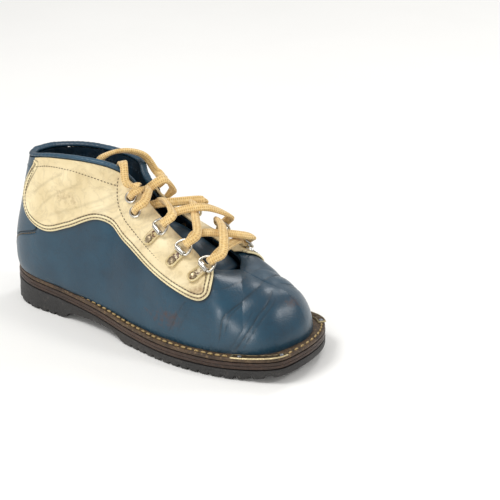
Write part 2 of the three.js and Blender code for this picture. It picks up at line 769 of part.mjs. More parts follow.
// One pass of the lace round a ring's bow: in under the bow, up through the ring, out over it.
// lean is the side of the ring, along the frame's y, that the lace leaves on.
function ringPass(side, index, lean) {
  const frame = hardwareFrame(side, ringPlaces[index]);
  const bow = new THREE.Vector2(pivotX + ringReach - ringWire, pivotZ);
  const radius = ringWire + laceRadius + laceRoom;
  const points = [new THREE.Vector3(bow.x + 6, -3.2 * lean, bow.y - radius)];
  for (let k = 0; k <= 3; k += 1) {
    const angle = Math.PI * (1.5 - k / 3);
    const y = lean * (k - 1.5) * 1.4;
    points.push(new THREE.Vector3(bow.x + radius * Math.cos(angle), y, bow.y + radius * Math.sin(angle)));
  }
  points.push(new THREE.Vector3(bow.x + 6, 3.2 * lean, bow.y + radius));
  return points.map((point) => point.applyMatrix4(frame));
}

// One pass through an eyelet, from under the facing to the outside.
function eyeletPass(side, index) {
  const frame = hardwareFrame(side, eyeletPlaces[index]);
  return [[12, 0, -10.8], [4, 0, -9.8], [0.4, 0, -7.2], [0, 0, -1], [1, 0, 4], [5.5, 0, 6.4],
    [11, 0, 6]]
    .map((point) => new THREE.Vector3(...point).applyMatrix4(frame));
}

// A strand between two passes, bowed out from the tongue by lift
function strand(from, to, lift) {
  const middle = from.clone().lerp(to, 0.5);
  middle.x += lift * 0.4;
  middle.z += lift;
  return middle;
}

// Half of the lace, from the middle of the lowest bar up to its end inside the shoe
function laceHalf(side, lifts, tail) {
  const other = -side;
  const passes = [ringPass(side, 2, side), ringPass(other, 1, other), ringPass(side, 0, side),
    eyeletPass(other, 1), eyeletPass(side, 0)];
  const points = [...passes[0]];
  for (let i = 1; i < passes.length; i += 1) {
    points.push(strand(passes[i - 1].at(-1), passes[i][0], lifts[i - 1]), ...passes[i]);
  }
  return [...points, ...tail.map((point) => new THREE.Vector3(...point))];
}

const lateralTail = [[-30, -19, 121], [-35, -15.5, 133.5], [-42, -9, 131], [-48, -11, 117], [-57, -13, 98],
  [-68, -17, 78], [-79, -20, 57]];
const medialTail = [[-30, 19, 119], [-38, 14, 132], [-50, 2, 137], [-60, -9, 133], [-67, -13, 120],
  [-75, -15.5, 100], [-86, -19, 76], [-97, -19, 55]];

function laceRoute() {
  const lateral = laceHalf(MEDIAL, [2, 2, 1, 4], medialTail);
  const medial = laceHalf(LATERAL, [7, 7, 5, 9], lateralTail);
  return [...lateral.reverse(), strand(lateral.at(-1), medial[0], 1.5), ...medial];
}

// A round tube through stations on a curve, its section carried along without twist
function tube(curve, stationsPerPoint, radius, segments) {
  const count = (curve.points.length - 1) * stationsPerPoint;
  let across = null;
  return loft(Array.from({ length: count + 1 }, (_, i) => {
    const middle = curve.getPoint(i / count);
    const tangent = curve.getTangent(i / count);
    if (!across) across = new THREE.Vector3(0, 0, 1).cross(tangent);
    across.addScaledVector(tangent, -across.dot(tangent)).normalize();
    const up = new THREE.Vector3().crossVectors(tangent, across);
    return Array.from({ length: segments }, (__, k) => middle.clone()
      .addScaledVector(across, radius * Math.cos(2 * Math.PI * k / segments))
      .addScaledVector(up, radius * Math.sin(2 * Math.PI * k / segments)));
  }));
}

// An aglet runs on from an end of the lace along z.
const agletLength = 16;
const aglet = () => new THREE.CylinderGeometry(laceRadius * 0.8, laceRadius, agletLength, 8)
  .rotateX(Math.PI / 2)
  .translate(0, 0, agletLength / 2 + GAP);

function agletMatrix(end, before) {
  const along = end.clone().sub(before).normalize();
  const turn = new THREE.Quaternion().setFromUnitVectors(new THREE.Vector3(0, 0, 1), along);
  return new THREE.Matrix4().compose(end, turn, new THREE.Vector3(1, 1, 1));
}

// ---- nails of the side plates -------------------------------------------------------------

const nailShares = [0.12, 0.88];
const nailShank = 0.9;
const nailLength = 5.5;
function nailMatrix(side, share) {
  const v = THREE.MathUtils.lerp(plateFrom, plateTo, share);
  const point = soleLine(side, v, plateWidth / 2);
  const top = midsoleTop(point.x) + weltThickness + 2 * GAP + plateThickness;
  return new THREE.Matrix4().setPosition(point.x, point.y, top);
}
const nail = () => turned([[0, 1.4], [1.1, 1.15], [1.7, 2 * GAP], [nailShank, 2 * GAP],
  [nailShank, -nailLength + 1], [0, -nailLength]], 8);

// ---- assembly --------------------------------------------------------------------------------

const shoe = new THREE.Group();

function add(name, geometry, color, roughness, metalness = 0, matrix = null) {
  geometry.computeVertexNormals();
  const material = new THREE.MeshStandardMaterial({ color, roughness, metalness });
  const mesh = new THREE.Mesh(geometry, material);
  mesh.name = name;
  if (matrix) matrix.decompose(mesh.position, mesh.quaternion, mesh.scale);
  shoe.add(mesh);
}

const blue = 0x2d5468;
const cream = 0xd9c79a;
const rubber = 0x2b2a29;
const brown = 0x54382a;
const navy = 0x1f3344;
const nickel = 0xb9b6ac;
const brass = 0x8f7444;
const gold = 0xdcb878;
const cork = 0xa8794a;
const board = 0x9c7b55;

const sideNames = { [LATERAL]: 'lateral', [MEDIAL]: 'medial' };
const sides = [LATERAL, MEDIAL];
const eyeletNames = ['top', 'second'];
const ringNames = ['upper', 'middle', 'lower'];

// Holes through the leathers and the lining for eyelets and rivets
const holeTools = { [LATERAL]: [], [MEDIAL]: [] };
for (const side of sides) {
  for (const place of eyeletPlaces) {
    holeTools[side].push(drill(eyeletBore + 0.5 + GAP, hardwareFrame(side, place), -grip - 2, 2));
  }
  for (const place of ringPlaces) {
    holeTools[side].push(drill(rivetShank + GAP, hardwareFrame(side, place), -grip - 2, 2, rivetX));
  }
}
const allHoles = [...holeTools[LATERAL], ...holeTools[MEDIAL]];
const nailTools = sides.flatMap((side) => nailShares.map((share) => (
  drill(nailShank + GAP, nailMatrix(side, share), -nailLength - GAP, 2))));

add('outsole', outsole(), rubber, 0.85);
add('midsole', cut(midsole(), nailTools), brown, 0.7);
add('welt', cut(welt(), nailTools), brown, 0.6);
add('heel_filler', heelFiller(), cork, 0.9);
add('forepart_filler', foreFiller(), cork, 0.9);
add('shank', shank(), 0x6d7075, 0.4, 1);
add('insole', insole(), board, 0.8);
add('sock_liner', sockLiner(), navy, 0.8);
add('vamp', vamp(), blue, 0.35);
add('medial_quarter', medialQuarter(), blue, 0.35);
add('backstay', backstay(), blue, 0.35);
add('lining', cut(lining(), allHoles), navy, 0.6);
add('heel_counter', heelCounter(), board, 0.8);
add('toe_puff', toePuff(), board, 0.8);
add('tongue', tongue(), navy, 0.5);
add('collar_binding', collarBinding(), blue, 0.4);

for (const side of sides) {
  const prefix = sideNames[side];
  add(`${prefix}_ankle_panel`, cut(anklePanel(side), holeTools[side]), cream, 0.5);
  add(`${prefix}_side_plate`, cut(sidePlate(side), nailTools), brass, 0.4, 1);
  nailShares.forEach((share, i) => {
    add(`${prefix}_plate_nail_${i + 1}`, nail(), nickel, 0.4, 1, nailMatrix(side, share));
  });
  eyeletPlaces.forEach((place, i) => {
    add(`${prefix}_${eyeletNames[i]}_eyelet`, eyelet(), nickel, 0.3, 1, hardwareFrame(side, place));
  });
  ringPlaces.forEach((place, i) => {
    const frame = hardwareFrame(side, place);
    const pivot = frame.clone().multiply(new THREE.Matrix4().makeTranslation(pivotX, 0, pivotZ));
    add(`${prefix}_${ringNames[i]}_clip`, clip(), cream, 0.45, 0.2, frame);
    const rivetFrame = frame.clone().multiply(new THREE.Matrix4().makeTranslation(rivetX, 0, 0));
    add(`${prefix}_${ringNames[i]}_rivet`, rivet(), nickel, 0.4, 1, rivetFrame);
    add(`${prefix}_${ringNames[i]}_ring`, ring(), nickel, 0.25, 1, pivot);
  });
}

const route = laceRoute();
add('lace', tube(new THREE.CatmullRomCurve3(route, false, 'centripetal'), 2, laceRadius, 8), gold, 0.8);
add('lateral_aglet', aglet(), navy, 0.4, 0, agletMatrix(route[0], route[1]));
add('medial_aglet', aglet(), navy, 0.4, 0, agletMatrix(route.at(-1), route.at(-2)));

// The origin is the middle of the tread's outline, on the floor.
const box = new THREE.Box3().setFromObject(shoe);
shoe.position.set(-(box.min.x + box.max.x) / 2, -(box.min.y + box.max.y) / 2, 0);

export default shoe;
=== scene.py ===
import json
import math
import bmesh
import bpy
import numpy as np
from mathutils import Matrix, Vector

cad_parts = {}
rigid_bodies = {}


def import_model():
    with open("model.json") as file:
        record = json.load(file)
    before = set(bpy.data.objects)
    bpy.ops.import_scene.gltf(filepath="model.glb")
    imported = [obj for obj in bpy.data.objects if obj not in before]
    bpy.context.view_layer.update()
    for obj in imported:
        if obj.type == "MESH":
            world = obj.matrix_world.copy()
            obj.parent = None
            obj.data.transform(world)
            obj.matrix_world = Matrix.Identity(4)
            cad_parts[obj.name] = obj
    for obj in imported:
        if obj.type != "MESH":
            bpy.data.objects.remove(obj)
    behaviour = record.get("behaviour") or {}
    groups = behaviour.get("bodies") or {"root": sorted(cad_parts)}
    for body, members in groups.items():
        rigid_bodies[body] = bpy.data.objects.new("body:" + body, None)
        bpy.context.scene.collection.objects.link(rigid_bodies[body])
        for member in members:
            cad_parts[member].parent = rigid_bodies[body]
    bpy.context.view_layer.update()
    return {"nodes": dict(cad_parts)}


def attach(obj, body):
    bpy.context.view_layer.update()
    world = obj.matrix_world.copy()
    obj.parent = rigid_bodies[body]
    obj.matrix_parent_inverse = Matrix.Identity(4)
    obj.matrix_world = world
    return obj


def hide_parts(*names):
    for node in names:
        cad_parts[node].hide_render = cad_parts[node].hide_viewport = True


# Looks of the right boot of a pair of laced leather touring ski boots.
# Shapes are worked out in millimetres: +X to the toe, +Y to the medial side, +Z up.
for leftover in list(bpy.data.objects):
    bpy.data.objects.remove(leftover)
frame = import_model()

lateral, medial = -1, 1
sides = (lateral, medial)
sideNames = {lateral: "lateral", medial: "medial"}
modelShift = np.array([11.217, 3.284, 0.0])   # from the last's own origin to the frame's
gap = 0.3

# distances out from the last, as in the model
layers = {"liningInner": -2.0, "liningOuter": -0.8, "leatherInner": 1.3, "leatherOuter": 2.7,
          "overlapRise": 2.1, "overlapWidth": 10.0, "underlap": 3.5, "skirt": 0.8}
soleStack = {"welt": 2.9, "midsole": 5.4}


# Camera

view = {"azimuth": 32.9, "elevation": 23.1, "place": (714.2, -976.7, 580.0), "lens": 122.4}


def makeCamera():
    # the camera looks back along the direction that azimuth and elevation give
    a, e = math.radians(view["azimuth"]), math.radians(view["elevation"])
    back = np.array([math.sin(a) * math.cos(e), -math.cos(a) * math.cos(e), math.sin(e)])
    right = np.array([math.cos(a), math.sin(a), 0.0])
    up = np.cross(back, right)
    turn = Matrix(np.column_stack([right, up, back]).tolist()).to_4x4()
    data = bpy.data.cameras.new("camera")
    data.lens = view["lens"]
    data.sensor_width = 36
    data.clip_end = 10
    camera = bpy.data.objects.new("camera", data)
    camera.matrix_world = Matrix.Translation([c / 1000 for c in view["place"]]) @ turn
    bpy.context.scene.collection.objects.link(camera)
    bpy.context.scene.camera = camera


makeCamera()
print("camera placed")


# Curves

def mix(a, b, share):
    return a + (b - a) * share


def smoothstep(x, low, high):
    s = np.clip((np.asarray(x, float) - low) / (high - low), 0, 1)
    return s * s * (3 - 2 * s)


def unit(v):
    return v / np.maximum(np.linalg.norm(v, axis=-1, keepdims=True), 1e-12)


def profile(points):
    # smooth curve y(x) through the points (Hermite with mean slopes), level beyond its ends
    px, py = np.array(points, float).T
    low = np.maximum(np.arange(len(px)) - 1, 0)
    high = np.minimum(np.arange(len(px)) + 1, len(px) - 1)
    slope = (py[high] - py[low]) / (px[high] - px[low])

    def at(x):
        x = np.asarray(x, float)
        i = np.clip(np.searchsorted(px, x) - 1, 0, len(px) - 2)
        width = px[i + 1] - px[i]
        s = np.clip((x - px[i]) / width, 0, 1)
        keep = 2 * s ** 3 - 3 * s ** 2 + 1
        bend = (s ** 3 - 2 * s ** 2 + s) * slope[i] + (s ** 3 - s ** 2) * slope[i + 1]
        return keep * py[i] + (1 - keep) * py[i + 1] + width * bend
    return at


def curve(points, isClosed=False):
    # Catmull-Rom through the points: each span's end slopes are half its neighbours' difference
    p = np.array(points, float)
    if isClosed:
        spans, row = len(p), np.vstack([p[-1:], p, p[:2]])
    else:
        spans, row = len(p) - 1, np.vstack([2 * p[:1] - p[1:2], p, 2 * p[-1:] - p[-2:-1]])

    def at(s):
        s = np.asarray(s, float)
        place = (s % 1 if isClosed else np.clip(s, 0, 1)) * spans
        i = np.minimum(place.astype(int), spans - 1)
        w = (place - i)[..., None]
        a, b, c, d = row[i], row[i + 1], row[i + 2], row[i + 3]
        t0, t1 = (c - a) / 2, (d - b) / 2
        return (2 * b - 2 * c + t0 + t1) * w ** 3 + (3 * c - 3 * b - 2 * t0 - t1) * w ** 2 + t0 * w + b
    return at


def resample(points, extras, pitch):
    # points evenly spaced along a polyline, and the extras carried with them
    step = np.linalg.norm(np.diff(points, axis=0), axis=1)
    run = np.concatenate([[0], np.cumsum(step)])
    count = max(int(run[-1] / pitch), 1)
    at = (np.arange(count) + 0.5) * run[-1] / count

    def pick(rows):
        return np.stack([np.interp(at, run, column) for column in rows.T], 1)
    return pick(points), [pick(rows) for rows in extras]


def nearest(points, line):
    # distance from each point to the nearest point of a line, in blocks to save memory
    rows = points.reshape(-1, 3)
    out = np.empty(len(rows))
    blockSize = 4000
    for start in range(0, len(rows), blockSize):
        block = rows[start:start + blockSize]
        out[start:start + blockSize] = np.sqrt(((block[:, None] - line[None]) ** 2).sum(-1)).min(1)
    return out.reshape(points.shape[:-1])


# Plan lines of the sole and the upper, and heights along the shoe

def planLine(lateralPoints, toe, medialPoints, heel):
    points = [heel, *lateralPoints, toe, *medialPoints[::-1]]
    loop = curve(points, True)
    toeAt = (len(lateralPoints) + 1) / len(points)

    # v runs 0 at the heel to 1 at the toe along one side; inset moves the point inwards
    def at(side, v, inset=0.0):
        v = np.asarray(v, float)
        s = v * toeAt if side == lateral else 1 - v * (1 - toeAt)
        point = loop(s)
        tangent = unit(loop(s + 1e-4) - loop(s - 1e-4))
        inset = np.asarray(inset, float)
        return np.stack([point[..., 0] - tangent[..., 1] * inset,
                         point[..., 1] + tangent[..., 0] * inset], -1)
    return at


soleLine = planLine(
    [[-142, -19], [-120, -31.5], [-84, -34.5], [-46, -39], [-8, -48.5], [30, -55.5], [68, -54.5],
     [99, -46.5], [120, -37], [126.5, -17]],
    [127, 3],
    [[-142, 19], [-120, 30.5], [-84, 32], [-46, 32], [-8, 36], [30, 43], [68, 48.5],
     [95, 47.5], [112, 38], [122.5, 21]],
    [-149, 0])

featherLine = planLine(
    [[-136, -18], [-117, -28], [-84, -30], [-46, -33], [-10, -40], [25, -45.5], [60, -45.5],
     [88, -39.5], [106, -29], [114, -13]],
    [116, 2],
    [[-136, 18], [-117, 27], [-84, 27.5], [-46, 26.5], [-10, 30], [25, 36], [60, 41],
     [85, 39.5], [101, 30.5], [111.5, 17]],
    [-142.5, 0])

midsoleTop = profile([[-150, 26], [-115, 24], [-70, 20], [-30, 15.8], [10, 13.4],
                      [60, 13.4], [95, 14.8], [115, 17.6], [130, 21]])
treadShape = profile([[-150, 1.6], [-142, 0], [-86, 0], [-79, 5], [-55, 6.5], [-30, 5],
                      [-16, 0], [80, 0], [95, 1.4], [112, 4.4], [128, 8.4]])


# The last: the surface that the upper is pulled over

rimPoints = {
    lateral: [[-133, 0, 121], [-125, -14, 122], [-98, -21.5, 129], [-66, -21.5, 132],
              [-44, -16.5, 129], [-33, -10, 119], [-16, -9, 101], [5, -13, 88],
              [27, -16.5, 77], [48, -20, 67], [60, 0, 61.5]],
    medial: [[-133, 0, 121], [-125, 14, 122], [-98, 21.5, 125], [-66, 21.5, 125.5],
             [-44, 16.5, 124], [-33, 10, 116], [-16, 9, 100], [5, 13, 86.5],
             [27, 15, 75.5], [48, 17, 65], [60, 0, 61.5]]}
rimLine = {side: curve(rimPoints[side]) for side in sides}
ridgeLine = curve([[60, 0, 61.5], [72, 0, 58.6], [82, 0, 56], [91, 0, 54.6]])
rimAt = profile([[0, 0], [0.09, 0.1], [0.36, 0.449], [0.45, 0.54], [0.65, 0.868], [0.73, 1]])
heelBulge = profile([[0, 6.8], [0.12, 5.2], [0.3, 2.8], [0.5, 0], [1, 0]])
throatU = 0.73


def topPoint(side, u):
    u = np.asarray(u, float)
    onRim = rimLine[side](rimAt(u))
    onRidge = ridgeLine((u - throatU) / (1 - throatU))
    return np.where((u <= throatU)[..., None], onRim, onRidge)


def lastPoint(side, u, t):
    # u runs heel to toe, t from the feather line to the top line: behind, ribs lean straight
    # in and bulge; in front, they are quarter ellipses
    u, t = np.broadcast_arrays(np.asarray(u, float), np.asarray(t, float))
    foot = featherLine(side, u)
    low = midsoleTop(foot[..., 0]) + soleStack["welt"] + 4 * gap
    top = topPoint(side, u)
    archShare = smoothstep(u, 0.3, 0.62)
    angle = t * math.pi / 2
    rise = mix(t, np.sin(angle), archShare)
    lean = mix(1 - t, np.maximum(np.cos(angle), 0) ** 0.93, archShare)
    bulge = heelBulge(u) * np.sin(math.pi * np.clip(t, 0, 1) ** 0.55)
    outwards = featherLine(side, u, -1.0) - foot
    x = top[..., 0] + (foot[..., 0] - top[..., 0]) * lean + outwards[..., 0] * bulge
    y = top[..., 1] + (foot[..., 1] - top[..., 1]) * lean + outwards[..., 1] * bulge
    return np.stack([x, y, low + (top[..., 2] - low) * rise], -1)


def lastNormal(side, u, t):
    # square to the rib and to the level line; on the midline it has no sideways share
    u, t = np.broadcast_arrays(np.asarray(u, float), np.asarray(t, float))
    step = 0.004
    u0, u1 = np.maximum(u - step, 0), np.minimum(u + step, 1)
    t0, t1 = np.maximum(np.minimum(t, 0.996) - step, 0), np.minimum(t + step, 0.996)
    up = lastPoint(side, u, t1) - lastPoint(side, u, t0)
    footing = smoothstep(t, -0.02, 0.15)
    level = np.minimum(t, 0.99)
    along = lastPoint(side, u1, level) - lastPoint(side, u0, level)
    normal = unit(np.cross(along, up) * -side)
    normal[..., 2] *= footing
    flat = np.zeros_like(footing)
    heel = np.stack([-up[..., 2], flat, up[..., 0] * footing], -1)
    toe = np.stack([up[..., 2], flat, -up[..., 0] * footing], -1)
    ridge = topPoint(side, u1) - topPoint(side, np.maximum(u0, throatU))
    ridgeNormal = np.stack([-ridge[..., 2], flat, ridge[..., 0]], -1)
    isRidge = (t > 0.999) & (u > throatU - 0.001)
    normal = np.where(isRidge[..., None], ridgeNormal, normal)
    normal = np.where((u > 0.999)[..., None], toe, normal)
    normal = np.where((u < 0.001)[..., None], heel, normal)
    return unit(normal)


def offPoint(side, u, t, distance):
    distance = np.asarray(distance, float)
    return lastPoint(side, u, t) + lastNormal(side, u, t) * distance[..., None]


# Meshes

def makeObject(name, mesh, material, body="shoe", smooth=True, sharp=40):
    mesh.materials.append(material)
    if smooth:
        mesh.polygons.foreach_set("use_smooth", np.ones(len(mesh.polygons), bool))
        mesh.set_sharp_from_angle(angle=math.radians(sharp))
    piece = bpy.data.objects.new(name, mesh)
    bpy.context.scene.collection.objects.link(piece)
    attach(piece, body)
    return piece


def meshFrom(name, points, faces, attributes=None):
    mesh = bpy.data.meshes.new(name)
    places = (np.asarray(points, float) + modelShift) / 1000
    mesh.from_pydata(places.tolist(), [], faces.tolist() if hasattr(faces, "tolist") else faces)
    for key, values in (attributes or {}).items():
        layer = mesh.attributes.new(key, "FLOAT", "POINT")
        layer.data.foreach_set("value", np.asarray(values, np.float32))
    mesh.update()
    return mesh


def mended(mesh, distance=2e-6):
    # merges doubles at seams and poles, and turns all faces outwards
    work = bmesh.new()
    work.from_mesh(mesh)
    bmesh.ops.remove_doubles(work, verts=work.verts, dist=distance)
    bmesh.ops.recalc_face_normals(work, faces=work.faces)
    work.to_mesh(mesh)
    work.free()
    return mesh


def gridQuads(rows, columns, offset=0):
    i, j = np.meshgrid(np.arange(rows - 1), np.arange(columns - 1), indexing="ij")
    a = offset + i * columns + j
    return np.stack([a, a + columns, a + columns + 1, a + 1], -1)


def sheetMesh(name, patches):
    # patches are dicts of outer and inner grids of points. Points that coincide are welded,
    # and a wall from outer to inner closes every free edge, round holes too.
    outer, inner, quads, marks, count = [], [], [], {}, 0
    for patch in patches:
        rows, columns = patch["outer"].shape[:2]
        faces = gridQuads(rows, columns, count)
        if patch.get("isFlipped"):
            faces = faces[..., ::-1]
        keep = patch.get("keep", np.ones(faces.shape[:2], bool))
        quads.append(faces[keep])
        outer.append(patch["outer"].reshape(-1, 3))
        inner.append(patch["inner"].reshape(-1, 3))
        for key, values in patch.get("marks", {}).items():
            marks.setdefault(key, []).append(np.broadcast_to(values, (rows, columns)).ravel())
        count += rows * columns
    outer, inner, quads = np.vstack(outer), np.vstack(inner), np.vstack(quads)
    _, first, back = np.unique(np.round(outer * 200), axis=0, return_index=True, return_inverse=True)
    outer, inner, quads = outer[first], inner[first], back.ravel()[quads]
    size = len(outer)
    starts, ends = quads, np.roll(quads, -1, axis=1)
    isFree = ~np.isin(starts * size + ends, ends * size + starts) & (starts != ends)
    a, b = starts[isFree], ends[isFree]
    walls = np.stack([b, a, size + a, size + b], 1)
    faces = np.vstack([quads, size + quads[:, ::-1], walls])
    attributes = {key: np.tile(np.concatenate(rows)[first], 2) for key, rows in marks.items()}
    mesh = meshFrom(name, np.vstack([outer, inner]), faces, attributes)
    mesh.validate()
    return mended(mesh)


def ringQuads(stations, around, isLoop=False):
    # quads between closed rings of points, and from the last ring to the first on a loop
    i, j = np.meshgrid(np.arange(stations if isLoop else stations - 1), np.arange(around),
                       indexing="ij")
    k, following = (j + 1) % around, (i + 1) % stations
    return np.stack([i * around + j, i * around + k, following * around + k,
                     following * around + j], -1).reshape(-1, 4)


def loftMesh(name, rings, isLoop=False, attributes=None):
    # rings is (stations, points round, 3); the ends are closed with one face each
    stations, around = rings.shape[:2]
    faces = ringQuads(stations, around, isLoop).tolist()
    if not isLoop:
        faces.append(list(range(around))[::-1])
        faces.append([(stations - 1) * around + n for n in range(around)])
    mesh = meshFrom(name, rings.reshape(-1, 3), faces, attributes)
    return mended(mesh)


def planLoop(count):
    # stations right round a plan line, closer at heel and toe: their v, and a function that
    # gives their points on any plan line at any inset
    v = 0.5 - 0.5 * np.cos(np.pi * np.arange(count + 1) / count)
    isLateral = np.arange(2 * count) <= count
    loopV = np.concatenate([v, v[1:-1][::-1]])

    def at(line, inset):
        return np.where(isLateral[:, None], line(lateral, loopV, inset), line(medial, loopV, inset))
    return loopV, at


def slabMesh(name, line, section, count=220, marks=None):
    # a slab inside a plan line: section rows are (inset, height function of x and v), from
    # the bottom's edge up the side to the top's edge; straps across close bottom and top
    loopV, planAt = planLoop(count)
    rings = []
    for inset, height in section:
        plan = planAt(line, inset)
        rings.append(np.column_stack([plan, height(plan[:, 0], loopV)]))
    rings = np.array(rings)
    levels, around = rings.shape[:2]
    n = np.arange(1, count - 1)
    strap = np.stack([n, n + 1, around - n - 1, around - n], 1)
    ends = [[0, 1, around - 1], [count, around - count + 1, count - 1]]
    top = (levels - 1) * around
    faces = (ringQuads(levels, around).tolist() + strap.tolist() + (top + strap[:, ::-1]).tolist()
             + ends + [[top + e for e in end[::-1]] for end in ends])
    mesh = meshFrom(name, rings.reshape(-1, 3), faces, marks(rings) if marks else None)
    return mended(mesh)


def revolve(points, segments, place, name):
    # (radius, height) points turned round a frame's z axis
    angle = 2 * np.pi * np.arange(segments) / segments
    r, z = np.array(points, float).T
    rings = np.stack([r[:, None] * np.cos(angle), r[:, None] * np.sin(angle),
                      np.broadcast_to(z[:, None], (len(r), segments))], -1)
    faces = ringQuads(len(r), segments)
    return mended(meshFrom(name, placed(rings.reshape(-1, 3), place), faces))


def placed(points, place):
    # from a local frame (origin, x, y, z) to the shoe's
    origin, x, y, z = place
    return origin + points[..., :1] * x + points[..., 1:2] * y + points[..., 2:3] * z


def roundedPath(corners, radius, steps=4):
    # a polyline of (radius, height) corners, each rounded by a quadratic bend
    corners = np.array(corners, float)
    rows = [corners[:1]]
    for a, b, c in zip(corners[:-2], corners[1:-1], corners[2:]):
        reach = min(radius, np.linalg.norm(a - b) / 2, np.linalg.norm(c - b) / 2)
        start, end = b + unit(a - b) * reach, b + unit(c - b) * reach
        s = np.linspace(0, 1, steps)[:, None]
        rows.append((1 - s) ** 2 * start + 2 * s * (1 - s) * b + s ** 2 * end)
    return np.vstack([*rows, corners[-1:]])


# Materials: shared effects as node groups

def colour(code):
    # a hex colour as linear red, green, blue, alpha
    parts = [int(code[k:k + 2], 16) / 255 for k in (1, 3, 5)]
    return tuple(p / 12.92 if p < 0.04045 else ((p + 0.055) / 1.055) ** 2.4 for p in parts) + (1.0,)


def put(tree, kind, inputs=None, **settings):
    node = tree.nodes.new(kind)
    for key, value in settings.items():
        setattr(node, key, value)
    for key, value in (inputs or {}).items():
        if isinstance(value, bpy.types.NodeSocket):
            tree.links.new(value, node.inputs[key])
        else:
            node.inputs[key].default_value = value
    return node


def makeGroup(name, inputs, outputs, build):
    group = bpy.data.node_groups.new(name, "ShaderNodeTree")
    for label, kind, value in inputs:
        socket = group.interface.new_socket(label, in_out="INPUT", socket_type="NodeSocket" + kind)
        if value is not None:
            socket.default_value = value
    for label, kind in outputs:
        group.interface.new_socket(label, in_out="OUTPUT", socket_type="NodeSocket" + kind)
    start = group.nodes.new("NodeGroupInput")
    end = group.nodes.new("NodeGroupOutput")
    for label, socket in build(group, start.outputs).items():
        group.links.new(socket, end.inputs[label])
    return group


def buildMottle(tree, given):
    # two colours mixed by broad cloudy noise with finer noise over it
    broad = put(tree, "ShaderNodeTexNoise", {"Vector": given["Vector"], "Scale": given["Scale"],
                                             "Detail": 5.0, "Roughness": 0.6})
    share = put(tree, "ShaderNodeMapRange", {"Value": broad.outputs["Fac"], "From Min": 0.35,
                                             "From Max": 0.68})
    mixed = put(tree, "ShaderNodeMix", {"Factor": share.outputs["Result"], "A": given["First"],
                                        "B": given["Second"]}, data_type="RGBA")
    return {"Colour": mixed.outputs["Result"], "Mask": share.outputs["Result"]}


def buildWear(tree, given):
    # a patchy mask that appears where its amount is high
    noise = put(tree, "ShaderNodeTexNoise", {"Vector": given["Vector"], "Scale": given["Scale"],
                                             "Detail": 8.0, "Roughness": 0.7})
    least = put(tree, "ShaderNodeMath", {0: 0.78, 1: given["Amount"]}, operation="SUBTRACT")
    most = put(tree, "ShaderNodeMath", {0: least.outputs[0], 1: given["Softness"]}, operation="ADD")
    mask = put(tree, "ShaderNodeMapRange", {"Value": noise.outputs["Fac"],
                                            "From Min": least.outputs[0], "From Max": most.outputs[0]})
    return {"Mask": mask.outputs["Result"]}


def buildGrain(tree, given):
    # leather grain: small rounded cells with pores between them, and fine wrinkles
    cells = put(tree, "ShaderNodeTexVoronoi", {"Vector": given["Vector"], "Scale": given["Scale"],
                                               "Randomness": 1.0}, feature="SMOOTH_F1")
    fine = put(tree, "ShaderNodeTexNoise", {"Vector": given["Vector"], "Scale": given["Wrinkle Scale"],
                                            "Detail": 6.0, "Roughness": 0.65, "Distortion": 0.6})
    ridge = put(tree, "ShaderNodeMath", {0: fine.outputs["Fac"], 1: 0.5}, operation="SUBTRACT")
    line = put(tree, "ShaderNodeMath", {0: ridge.outputs[0]}, operation="ABSOLUTE")
    wrinkle = put(tree, "ShaderNodeMapRange", {"Value": line.outputs[0], "From Min": 0.0,
                                               "From Max": 0.03, "To Min": 1.0, "To Max": 0.0})
    sunk = put(tree, "ShaderNodeMath", {0: wrinkle.outputs["Result"], 1: given["Wrinkles"]},
               operation="MULTIPLY")
    height = put(tree, "ShaderNodeMath", {0: cells.outputs["Distance"], 1: -0.6}, operation="MULTIPLY")
    total = put(tree, "ShaderNodeMath", {0: height.outputs[0], 1: sunk.outputs[0]},
                operation="SUBTRACT")
    return {"Height": total.outputs[0], "Wrinkle": wrinkle.outputs["Result"]}


vectorInput = ("Vector", "Vector", None)
mottleGroup = makeGroup("mottle", [vectorInput, ("Scale", "Float", 30.0), ("First", "Color", None),
                                   ("Second", "Color", None)],
                        [("Colour", "Color"), ("Mask", "Float")], buildMottle)
wearGroup = makeGroup("wear", [vectorInput, ("Scale", "Float", 200.0), ("Amount", "Float", 0.2),
                               ("Softness", "Float", 0.1)], [("Mask", "Float")], buildWear)
grainGroup = makeGroup("grain", [vectorInput, ("Scale", "Float", 900.0),
                                 ("Wrinkle Scale", "Float", 60.0), ("Wrinkles", "Float", 0.5)],
                       [("Height", "Float"), ("Wrinkle", "Float")], buildGrain)


def newMaterial(name, roughness, metallic=0.0, **constants):
    material = bpy.data.materials.new(name)
    material.use_nodes = True
    shader = material.node_tree.nodes["Principled BSDF"]
    shader.inputs["Roughness"].default_value = roughness
    shader.inputs["Metallic"].default_value = metallic
    for key, value in constants.items():
        shader.inputs[key.replace("_", " ")].default_value = value
    return material, material.node_tree, shader


def useGroup(tree, group, **inputs):
    named = {key.replace("_", " "): value for key, value in inputs.items()}
    return put(tree, "ShaderNodeGroup", named, node_tree=group).outputs


def objectPlace(tree):
    return put(tree, "ShaderNodeTexCoord").outputs["Object"]


def mark(tree, name):
    return put(tree, "ShaderNodeAttribute", attribute_name=name).outputs["Fac"]


def blendColour(tree, share, first, second):
    return put(tree, "ShaderNodeMix", {"Factor": share, "A": first, "B": second},
               data_type="RGBA").outputs["Result"]


def times(tree, first, second):
    return put(tree, "ShaderNodeMath", {0: first, 1: second}, operation="MULTIPLY").outputs[0]


def plus(tree, first, second):
    return put(tree, "ShaderNodeMath", {0: first, 1: second}, operation="ADD",
               use_clamp=True).outputs[0]


def bump(tree, height, strength, distance):
    return put(tree, "ShaderNodeBump", {"Height": height, "Strength": strength,
                                        "Distance": distance}).outputs["Normal"]


def connect(tree, shader, **sockets):
    for key, socket in sockets.items():
        tree.links.new(socket, shader.inputs[key.replace("_", " ")])


